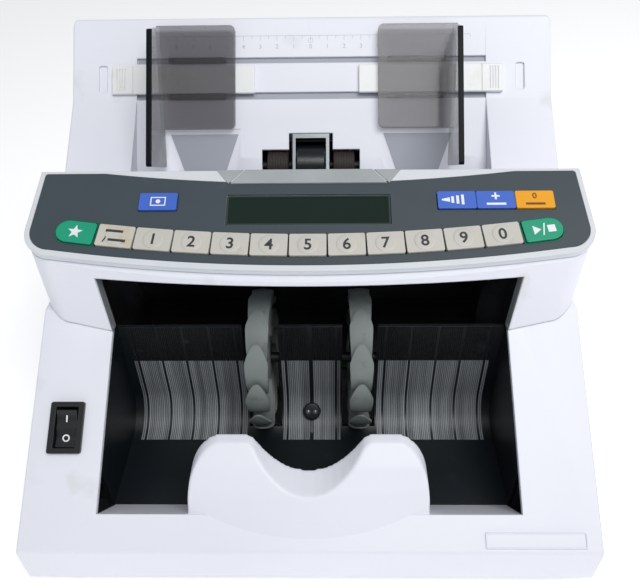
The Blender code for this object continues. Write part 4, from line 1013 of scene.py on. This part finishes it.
def key(label, x, u, turn, length, depth, mat, green_sign=0):
    """One key cap on its own body, with its raised dome and its mark."""
    body, node_name = f"key_{label}_cap", "key_" + label
    place = PANEL @ Matrix.Translation((x, u, 0)) @ Matrix.Rotation(turn, 4, "Z")
    if green_sign:
        outline = green_outline(green_sign, 0.0)
        flat = place.inverted() @ PANEL
        outline = [tuple((flat @ Vector((px, py, 0))).xy) for px, py in outline]
    else:
        outline = plain_window(-length / 2, length / 2, 0, depth, 0.0009)
    cap = bevel(prism(outline, -KEY_SKIRT, KEY_RISE, TOP), 0.00035, 3, 60)
    top = KEY_RISE
    if label.isdigit() or label == "mode":
        reach = 0.0053
        dome = lathe([(KEY_RISE - 0.0003, reach), (KEY_RISE + 0.00012, reach - 0.0001),
                      (KEY_RISE + 0.00030, reach - 0.0006), (KEY_RISE + 0.00034, reach - 0.0014),
                      (KEY_RISE + 0.00034, 0.0004)], Matrix(), 48)
        gather(cap, dome)
        top += 0.00034
    dress(cap, "cap_" + label, mat, body, place, node_name)
    marks, ink = key_marks(label)
    mark_place = place @ Matrix.Translation((0, 0, top + INK_THICK / 2 + 0.00001))
    dress(marks, "mark_" + label, ink, body, mark_place)


def keys():
    row = ["special", "mode", *"1234567890", "start_stop"]
    for index, label in enumerate(row):
        x, length = (index - 6) * KEY_PITCH, KEY_LENGTH
        mat, sign = (KEY_WORN if label == "mode" else KEY_GREY), 0
        if label in ("special", "start_stop"):
            sign = -1 if label == "special" else 1
            x, length, mat = sign * GREEN_X, GREEN_LENGTH, KEY_GREEN
        key(label, x, KEY_ROW_U + bow(x), math.atan(x / BOW_RADIUS), length, KEY_DEPTH, mat, sign)
    upper = [("density", DENSITY_X, KEY_BLUE), ("speed", FUNCTION_XS[0], KEY_BLUE),
             ("accumulate", FUNCTION_XS[1], KEY_BLUE), ("clear", FUNCTION_XS[2], KEY_AMBER)]
    for label, x, mat in upper:
        key(label, x, UPPER_U, 0, UPPER_LENGTH, UPPER_DEPTH, mat)


# ---- Power switch --------------------------------------------------------------------------------
ROCKER_PIVOT = -0.002
ROCKER_TILT = math.radians(9)


def power_switch():
    outer = plain_window(-0.00865, 0.00865, 0, 0.026, 0.0012)
    bezel = bevel(prism(outer, 0.0003, 0.0020, TOP), 0.0005, 3, 60)
    mouth = plain_window(-0.0058, 0.0058, 0, 0.0208, 0.0006)
    join(bezel, box((-0.0076, -0.0118, -0.012), (0.0076, 0.0118, 0.001)))
    cut(bezel, prism(mouth, -0.010, 0.004, TOP))
    dress(bezel, "switch_frame_bezel", SWITCH_BLACK, where=SWITCH, replaces="switch_bezel")
    reach, dip, edge = 0.0094, 0.0011, 0.0017
    hollow = [(y, edge - dip * math.sin(math.pi * abs(y) / reach) ** 1.2 - 0.0009 * (1 - abs(y) / reach))
              for y in [reach * (i / 12 - 1) for i in range(25)]]
    side = [*hollow, (0.0088, -0.0045), (-0.0088, -0.0045)]
    place = SWITCH @ Matrix.Translation((0, 0, ROCKER_PIVOT)) @ Matrix.Rotation(ROCKER_TILT, 4, "X") \
        @ Matrix.Translation((0, 0, -ROCKER_PIVOT))
    rocker = bevel(prism(side, -0.0052, 0.0052), 0.0003, 2, 50)
    dress(rocker, "rocker", SWITCH_BLACK, "switch", place, "switch_rocker")
    stroke = prism(bar(0, 0.0049, 0.0007, 0.0034), 0.00035, 0.00062, TOP)
    dress(stroke, "mark_on", WHITE_INK, "switch", place)
    ring = prism(arc_points((0, -0.0049), 0.0019, 0, 350, 35), 0.00035, 0.00062, TOP)
    cut(ring, prism(arc_points((0, -0.0049), 0.0012, 0, 350, 35), -0.01, 0.01, TOP))
    dress(ring, "mark_off", WHITE_INK, "switch", place)


head_cover()
control_panel()
display()
note_brace()
keys()
power_switch()


# ---- Hopper --------------------------------------------------------------------------------------
HOPPER_FRONT_Y = HEAD_REAR_Y + 0.0007
SHOULDER_FRONT_Z = 0.127
SHOULDER_BREAK = (0.210, 0.168)
WELL_HALF = 0.1038
GROOVES_S = ((0.0236, 0.0271), (0.0446, 0.0488))
THROAT = (0.1655, 0.118)
TURN_S = 0.083                  # where the plate's lower edge starts to round away
TURN_LENGTH = 0.013
TURN_DROP = 0.0014
END_S = 0.1165
SCOOP_S = 0.0665
SCOOP_LENGTH = 0.052
SCOOP_X = (0.0420, 0.0845)
SCOOP_FALL = 0.14               # how fast a finger scoop deepens down the slope
SCOOP_SPREAD = 0.36             # how fast its floor narrows between its sides


def plate_side(points):
    """An outline given as (s, n) for the plate's frame, whose y climbs as s falls."""
    return [(-s, n) for s, n in points]


def plate_point(s, n):
    """Machine y and z of a point on the plate: s down its slope, n off its face."""
    return (PLATE_TOP[0] - s * math.cos(PLATE_ANGLE) - n * math.sin(PLATE_ANGLE),
            PLATE_TOP[1] - s * math.sin(PLATE_ANGLE) + n * math.cos(PLATE_ANGLE))


def plate_curve(offset):
    """The lower stretch of the plate's face, rounding away from the notes, at offset behind it."""
    points = []
    for s in [TURN_S + TURN_LENGTH * i / 10 for i in range(11)] + [END_S]:
        share = min(1.0, (s - TURN_S) / TURN_LENGTH)
        points.append(plate_point(s, -TURN_DROP * (1 - math.cos(math.pi * share)) / 2 - offset))
    return points


def on_plate(piece):
    return moved(piece, WORLD.inverted() @ PLATE)


def scoop_floor_at(s):
    """Inner and outer x of a finger scoop's floor, and its height off the plate, s down the slope."""
    narrow = SCOOP_SPREAD * (s - SCOOP_S)
    return SCOOP_X[0] + narrow, SCOOP_X[1] - narrow, -SCOOP_FALL * (s - SCOOP_S)


def scoop(side):
    """Finger room beside the centre pad: a ramp that deepens downwards between slanting sides."""
    inner, outer = SCOOP_X
    rings = []
    for s in (SCOOP_S, SCOOP_S + SCOOP_LENGTH):
        low, high, floor = scoop_floor_at(s)
        ring = [(outer + 0.0006, 0.012), (outer + 0.0002, 0.0), (high, floor - 0.0002),
                (low, floor - 0.0002), (inner - 0.0002, 0.0), (inner - 0.0006, 0.012)]
        rings.append([(side * x, -s, n) for x, n in ring])
    return on_plate(lofted(rings))


def scoop_floor(side):
    """A thin grey sheet on a finger scoop's floor: painted shade in the scoop."""
    rings = []
    for s in (SCOOP_S + 0.003, 0.1030):
        low, high, floor = scoop_floor_at(s)
        ring = [(high, 0.0001), (low, 0.0001), (low, -0.0004), (high, -0.0004)]
        rings.append([(side * x, -s, floor + lift) for x, lift in ring])
    return lofted(rings)


def hopper_cover():
    front = [(HOPPER_FRONT_Y, SEAM_Z + GAP), (HOPPER_FRONT_Y, SHOULDER_FRONT_Z), SHOULDER_BREAK]
    crown = [PLATE_TOP, (0.2445, 0.2047), (0.2455, 0.2040), (BODY_REAR, 0.1975)]
    outer = [*front, *crown, (BODY_REAR, SEAM_Z + GAP)]
    cover = bevel(prism(outer, -HALF_WIDTH, HALF_WIDTH), 0.0018, 4, 50)
    corners = rounded([(-HALF_WIDTH - 0.001, -0.4), (HALF_WIDTH + 0.001, -0.4), (HALF_WIDTH, 0.0022),
                       (-HALF_WIDTH, 0.0022)], (0, 0, 0.0075, 0.0075), 10)
    combined(cover, [on_plate(prism(corners, -0.3, 0.3, TOP))], "INTERSECT")
    drop = WALL * 1.2
    inner = [(HOPPER_FRONT_Y + WALL, 0.09), (HOPPER_FRONT_Y + WALL, SHOULDER_FRONT_Z - drop * 0.4),
             (SHOULDER_BREAK[0] + 0.0015, SHOULDER_BREAK[1] - drop * 0.9),
             (PLATE_TOP[0] + 0.0010, PLATE_TOP[1] - 0.0036), (0.26, 0.185), (0.26, 0.09)]
    behind = plate_point(-0.006, -WALL)
    backing = [(0.13, THROAT[1] - WALL), *plate_curve(WALL)[::-1], behind, (behind[0], 0.25), (0.13, 0.25)]
    cavity = prism(inner, WALL - HALF_WIDTH, HALF_WIDTH - WALL)
    cut(cavity, prism(backing, -WELL_HALF - WALL, WELL_HALF + WALL))
    mouth = plate_point(-0.006, 0)
    well = [(0.13, 0.10), (plate_curve(0)[-1][0], 0.10), *plate_curve(0)[::-1], mouth, (mouth[0], 0.25),
            (0.13, 0.25)]
    cut(cover, cavity, prism(well, -WELL_HALF, WELL_HALF), *drive_notches())
    liner = [(SCOOP_S, -0.0012), (SCOOP_S, -0.0028), (0.1150, -0.0028 - SCOOP_FALL * (0.1150 - SCOOP_S)),
             (0.1150, -0.0020)]
    for _, side in SIDES:
        low, high = span(side, SCOOP_X[0] - 0.0015, SCOOP_X[1] + 0.0015)
        join(cover, on_plate(prism(plate_side(liner), low, high)))
    tools = [scoop(-1), scoop(1)]
    for s_from, s_to in GROOVES_S:
        tools.append(on_plate(box((-WELL_HALF, -s_to, -0.0018), (WELL_HALF, -s_from, 0.004))))
    for half, s_from in ((0.013, 0.0692), (0.029, 0.0789)):      # for the yoke, then for the feed wheels
        tools.append(on_plate(box((-half, -0.125, -0.03), (half, -s_from, 0.02))))
    for _, side in SIDES:
        dimple = rectangle(*span(side, 0.1215, 0.1265), -0.0440, -0.0280, 0.0012)
        tools.append(on_plate(prism(dimple, -0.0009, 0.004, TOP)))
    cut(cover, *tools)
    dress(cover, "hopper_shell", WHITE, replaces="hopper_cover", smooth=28)
    # Grey strips on the groove floors: painted shade in the grooves.
    for number, (s_from, s_to) in enumerate(GROOVES_S, 1):
        strip = box((0.0004 - WELL_HALF, 0.0003 - s_to, -0.0020),
                    (WELL_HALF - 0.0004, -s_from - 0.0002, -0.0014))
        dress(strip, f"groove_floor_{number}", PAINTED_SHADE_GREY, where=PLATE)
    # Grey sheets on the finger scoops' floors: painted shade in the scoops.
    for name, side in SIDES:
        dress(scoop_floor(side), "scoop_floor_" + name, PAINTED_SHADE_GREY, where=PLATE)


def ruler():
    """Centre-zero centimetre scale printed on the hopper's top."""
    line, long_mark, short_mark = 0.00025, 0.0030, 0.0018
    outlines = [bar(0, -0.0107, 0.190, line)]
    for half_cm in range(-19, 20):
        length = long_mark if half_cm % 2 == 0 else short_mark
        outlines.append(bar(half_cm * 0.005, -0.0107 - length / 2, line, length))
    marks = printed(*outlines)
    figures = []
    for cm in range(-9, 10):
        place = Matrix.Translation((cm * 0.010, -0.0171, 0))
        figures.append(moved(digit(str(abs(cm)), 0.0026, 0.00004), place))
    gather(marks, *figures, printed(*[[(x, y - 0.0137) for x, y in side]
                                      for side in frame_marks(0.0014, 0.0012, 0.0002)]))
    place = PLATE @ Matrix.Translation((0, 0, INK_THICK / 2 + 0.00001))
    dress(marks, "hopper_ruler", RULER_INK, where=place)




# ---- Guides --------------------------------------------------------------------------------------
GUIDES_X = {"left": 0.0848, "right": 0.0802}
GUIDE_THICK = 0.0027
GUIDE_LIFT = 0.003
GUIDE_REACH = 0.038
GUIDE_FLARE = 0.005
GUIDE_EDGE = 0.0016
GUIDE_TOP_S = (0.0060, 0.0224)  # where a guide's wall starts down the slope: at the plate, at its rim
GUIDE_FOOT_S = (0.0898, 0.0971) # where it ends
FLANGE_S = (0.0064, 0.0675)
FLANGE_REACH = 0.0405
CARRIAGE_S = (0.0291, 0.0458)
CARRIAGE_X = (-0.0517, 0.0332)  # from the guide's face, away from the middle


def guide(side_name, side):
    """A smoked guide: rounded wall, flange along the plate, dark strips in the grooves under the flange as
    painted shadow, and a cream carriage.
    """
    face = GUIDES_X[side_name]
    body = "guide_l" if side_name == "left" else "guide_r"
    base, tip = GUIDE_LIFT, GUIDE_REACH - GUIDE_EDGE

    def edge(ends, n):
        """A point (s, n) on one end of the wall."""
        at_plate, at_rim = ends
        return at_plate + (at_rim - at_plate) * (n - base) / (GUIDE_REACH - base), n

    wall_side = rounded([edge(GUIDE_TOP_S, base), edge(GUIDE_FOOT_S, base), edge(GUIDE_FOOT_S, tip),
                         edge(GUIDE_TOP_S, tip)], (0.0022, 0.0030, 0.0006, 0.0006), 8)
    low, high = span(side, face, face + GUIDE_THICK)
    wall = prism(plate_side(wall_side), low, high)
    sliced(wall, (0, 1, 0), [-GUIDE_FOOT_S[1] * index / 8 for index in range(1, 8)])
    sliced(wall, (0, 0, 1), [base + 0.006 * index for index in range(1, 5)])
    for vert in wall.data.vertices:
        lean = max(0.0, 1 + vert.co.y / GUIDE_FOOT_S[0]) * max(0.0, 1 - (vert.co.z - base) / (tip - base))
        vert.co.x += side * GUIDE_FLARE * lean
    bevel(wall, 0.0005, 2, 60)
    inner, outer = face - FLANGE_REACH, face + GUIDE_THICK * 0.6
    flare_top = GUIDE_FLARE * (1 - FLANGE_S[0] / GUIDE_FOOT_S[0])
    corners = [(side * inner, -FLANGE_S[1]), (side * (outer + GUIDE_FLARE * 0.25), -FLANGE_S[1]),
               (side * (outer + flare_top), -FLANGE_S[0]), (side * inner, -FLANGE_S[0])]
    flange = prism(rounded(corners, (0.0034, 0, 0, 0.0034), 8), base, base + GUIDE_THICK, TOP)
    bevel(flange, 0.0009, 3, 60)
    join(wall, flange)
    dress(wall, "smoked_guide_" + side_name, SMOKE, body, PLATE, "guide_" + side_name)

    foot, top = edge(GUIDE_FOOT_S, tip), edge(GUIDE_TOP_S, tip)
    rim_side = rounded([(top[0], tip + 0.00005), (foot[0], tip + 0.00005), edge(GUIDE_FOOT_S, GUIDE_REACH),
                        edge(GUIDE_TOP_S, GUIDE_REACH)], (0, 0, 0.0015, 0.0015))
    rim = bevel(prism(plate_side(rim_side), low, high), 0.0005, 2, 60)
    dress(rim, "guide_rim_" + side_name, EDGE_SMOKE, body, PLATE)
    # Dark strips under the flange in the grooves: painted shadow of the flange.
    for number, (s_from, s_to) in enumerate(((0.0243, 0.0266), (0.0464, 0.0484)), 1):
        low, high = span(side, face - 0.0345, face - 0.0005)
        strip = bevel(box((low, -s_to, -0.0013), (high, -s_from, GUIDE_LIFT - 0.0001)), 0.0003, 2, 60)
        dress(strip, f"flange_shadow_strip_{number}_{side_name}", FLANGE_SHADOW_DARK, body, PLATE)

    low, high = span(side, face + CARRIAGE_X[0], face + CARRIAGE_X[1])
    carriage = box((low, -CARRIAGE_S[1], GAP), (high, -CARRIAGE_S[0], GUIDE_LIFT - GAP))
    bevel(carriage, 0.0006, 3, 60)
    grip = side * (face + CARRIAGE_X[1])
    ribs = []
    for index in range(4):
        x = grip - side * (0.0030 + 0.0016 * index)
        ribs.append(box((x - 0.0003, -0.0440, GUIDE_LIFT - GAP - 0.0004), (x + 0.0003, -0.0309, 0.004)))
    line = grip - side * 0.0125
    ribs.append(box((line - 0.0002, -0.050, GUIDE_LIFT - GAP - 0.0003), (line + 0.0002, -0.025, 0.004)))
    cut(carriage, *ribs)
    dress(carriage, "carriage_bar_" + side_name, CREAM, body, PLATE, "carriage_" + side_name)


# ---- Rollers under the plate ---------------------------------------------------------------------
PICKUP = (0.1906, 0.1352)
ALONG_X = Matrix.Rotation(math.pi / 2, 4, "Y")


def grooved_roller(name, node_name, mat, grooves):
    """A roller that takes its size from its CAD node, with round shoulders and turned grooves."""
    low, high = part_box(node_name)
    radius, bore, half = (high.z - low.z) / 2, 0.0034, (high.x - low.x) / 2
    rounding = 0.0006
    profile = [(-half, bore), (-half, radius - rounding), (rounding - half, radius)]
    for index in range(grooves):
        x = -half + 2 * half * (index + 1) / (grooves + 1)
        profile += [(x - 0.00025, radius), (x - 0.00012, radius - 0.0003), (x + 0.00012, radius - 0.0003),
                    (x + 0.00025, radius)]
    profile += [(half - rounding, radius), (half, radius - rounding), (half, bore)]
    roller = lathe(profile, Matrix.Translation((low + high) / 2) @ ALONG_X, 64)
    dress(roller, name, mat, "pickup_rotor", Matrix(), node_name)


def pickup_parts():
    yoke = bevel(box((-0.0112, -0.0965, -0.0034), (0.0112, -0.0695, 0.0015)), 0.0006, 3, 60)
    cut(yoke, box((-0.0090, -0.12, -0.01), (0.0090, -0.0725, 0.01)))
    # The yoke gets the darkened steel: painted shade.
    dress(yoke, "roller_yoke", YOKE_STEEL, where=PLATE, replaces="pickup_frame")
    grooved_roller("kicker_roller", "pickup_roller", KICKER, 0)
    grooved_roller("feed_wheel_left", "feed_roller_left", BROWN, 7)
    grooved_roller("feed_wheel_right", "feed_roller_right", BROWN, 7)
    # A matt black shell behind the kicker roller: painted shade for the dark inside seen through the slot.
    angles = (-150, 62)
    shell = arc_points(PICKUP, 0.0150, *angles, 24) + arc_points(PICKUP, 0.0141, *angles, 24)[::-1]
    dress(prism(shell, -0.0315, 0.0315), "roller_well", MATT_BLACK)
    for number, (_, side) in enumerate(SIDES, 1):
        low, high = span(side, 0.0120, 0.0845)
        strip = box((low, -0.0990, -0.0035), (high, -0.0930, -0.0003))
        dress(strip, f"throat_shadow_{number}", MATT_BLACK, where=PLATE)




# ---- Rear cover and inlet ------------------------------------------------------------------------
DEPTH = CAD_BOX[1].y - CAD_BOX[0].y
INLET = (-0.095, 0.032)
SCREWS = [(row, name, side * 0.128, z) for row, z in (("low", 0.020), ("high", 0.138))
          for name, side in SIDES]
FACING_FRONT = Matrix.Rotation(math.pi / 2, 4, "X")


def rear_cover():
    start = BODY_REAR + GAP
    outline = [(start, BASE_BOTTOM), (DEPTH, BASE_BOTTOM), (DEPTH, 0.150), (0.2575, 0.188), (0.2545, 0.1935),
               (start, 0.1945)]
    cover = bevel(prism(outline, -HALF_WIDTH, HALF_WIDTH), 0.0020, 4, 50)
    inner = [(0.25, BASE_BOTTOM + WALL), (DEPTH - WALL, BASE_BOTTOM + WALL), (DEPTH - WALL, 0.1495),
             (0.2553, 0.187), (0.2535, 0.1915), (0.25, 0.1915)]
    tools = [prism(inner, WALL - HALF_WIDTH, HALF_WIDTH - WALL)]
    for index in range(9):
        x = -0.032 + 0.008 * index
        vent = rectangle(x - 0.0015, x + 0.0015, 0.045, 0.085, 0.0014)
        tools.append(prism(vent, -0.27, -0.255, FRONT))
    x, z = INLET
    tools.append(box((x - 0.0142, 0.255, z - 0.0102), (x + 0.0142, 0.27, z + 0.0102)))
    tools.append(prism(rectangle(0.045, 0.105, 0.018, 0.046, 0.002), -0.27, 0.0004 - DEPTH, FRONT))
    for *_, x, z in SCREWS:
        tools.append(lathe([(0, 0.0042), (0.004, 0.0042)],
                           Matrix.Translation((x, DEPTH + 0.0028, z)) @ FACING_FRONT, 32))
    cut(cover, *tools)
    dress(cover, "rear_shell", WHITE, replaces="rear_cover")
    for row, side_name, x, z in SCREWS:
        place = Matrix.Translation((x, DEPTH - 0.0002, z)) @ FACING_FRONT
        head = lathe([(0.0016, 0.0038), (0.0006, 0.0038), (0.0001, 0.0032), (0.0, 0.0005)], place, 40)
        cross = [moved(box((-wide, -tall, -0.001), (wide, tall, 0.0008)), place)
                 for wide, tall in ((0.0022, 0.0004), (0.0004, 0.0022))]
        dress(cut(head, *cross), f"rear_screw_{row}_{side_name}", STEEL)


def inlet_pins():
    for name, x, z in (("left", -0.007, -0.001), ("middle", 0.0, 0.003), ("right", 0.007, -0.001)):
        x, z = INLET[0] + x, INLET[1] + z
        pin = bevel(box((x - 0.0012, 0.2450, z - 0.0022), (x + 0.0012, 0.2588, z + 0.0022)), 0.0004, 2, 60)
        dress(pin, "inlet_pin_" + name, STEEL)


# ---- Nodes whose CAD shape is kept ---------------------------------------------------------------
KEPT = {
    STEEL: ("bottom_plate", "side_frame_left", "side_frame_right"),
    # the shafts: steel painted dark as shade
    SHAFT_PAINTED_SHADE: ("stacker_shaft", "pickup_shaft"),
    MOTOR_STEEL: ("main_motor", "power_supply"),
    BOARD: ("key_board", "main_board"),
    DISPLAY: ("lcd_module",),
    SWITCH_BLACK: ("power_inlet", "motor_pulley"),
    MATT_BLACK: ("note_guide",),
    RUBBER: ("transport_roller", "feed_belt", "stacker_belt", "pickup_belt"),
    BROWN: ("separator_roller",),
}


def finish_kept_nodes():
    for mat, names in KEPT.items():
        for name in names:
            kept = NODES[name]
            kept.data.materials.clear()
            kept.data.materials.append(mat)
            kept.data.shade_smooth()
            kept.data.set_sharp_from_angle(angle=math.radians(35))


hopper_cover()
ruler()
for name, side in SIDES:
    guide(name, side)
pickup_parts()
rear_cover()
inlet_pins()
finish_kept_nodes()


# ---- Floor, light and camera ---------------------------------------------------------------------
CAMERA_AT = (0.011355, -0.288064, 0.327580)
CAMERA_TURN = (49.7726, 0.7672, 0.5775)
CAMERA_LENS = 36.289
LIGHTS_AIM = Vector((0, 0, 0.08))
LIGHTS = (("key_light", 16.0, (1.1, 0.8), (0.42, -0.66, 1.50)),
          ("side_fill", 2.0, (0.8, 0.8), (1.2, 0.5, 0.7)))


def stage():
    """A pale floor that glows a little, a large soft light above, a weak one at the side, and the camera."""
    floor = box((-3.0, -3.0, -0.02), (3.0, 3.0, 0.0), "floor")
    floor.data.materials.append(surface("floor_paper", (246, 246, 247), 0.6, mottle=0.008,
                                        mottle_scale=3, grain=0.03, grain_scale=400,
                                        Emission_Color=(1, 1, 1, 1), Emission_Strength=0.36))
    for name, power, size, place in LIGHTS:
        lamp = bpy.data.lights.new(name, "AREA")
        lamp.energy = power
        lamp.shape = "RECTANGLE"
        lamp.size, lamp.size_y = size
        holder = thing(name, lamp)
        holder.location = place
        holder.rotation_euler = (LIGHTS_AIM - Vector(place)).to_track_quat("-Z", "Y").to_euler()
    world = bpy.data.worlds.new("studio")
    world.use_nodes = True
    world.node_tree.nodes["Background"].inputs["Color"].default_value = (0.95, 0.97, 1.0, 1)
    world.node_tree.nodes["Background"].inputs["Strength"].default_value = 0.36
    bpy.context.scene.world = world

    camera = bpy.data.cameras.new("camera")
    camera.sensor_width = 36
    camera.lens = CAMERA_LENS
    holder = thing("camera", camera)
    holder.location = CAMERA_AT
    holder.rotation_euler = [math.radians(angle) for angle in CAMERA_TURN]
    bpy.context.scene.camera = holder
    bpy.context.scene.view_settings.view_transform = "Standard"


stage()
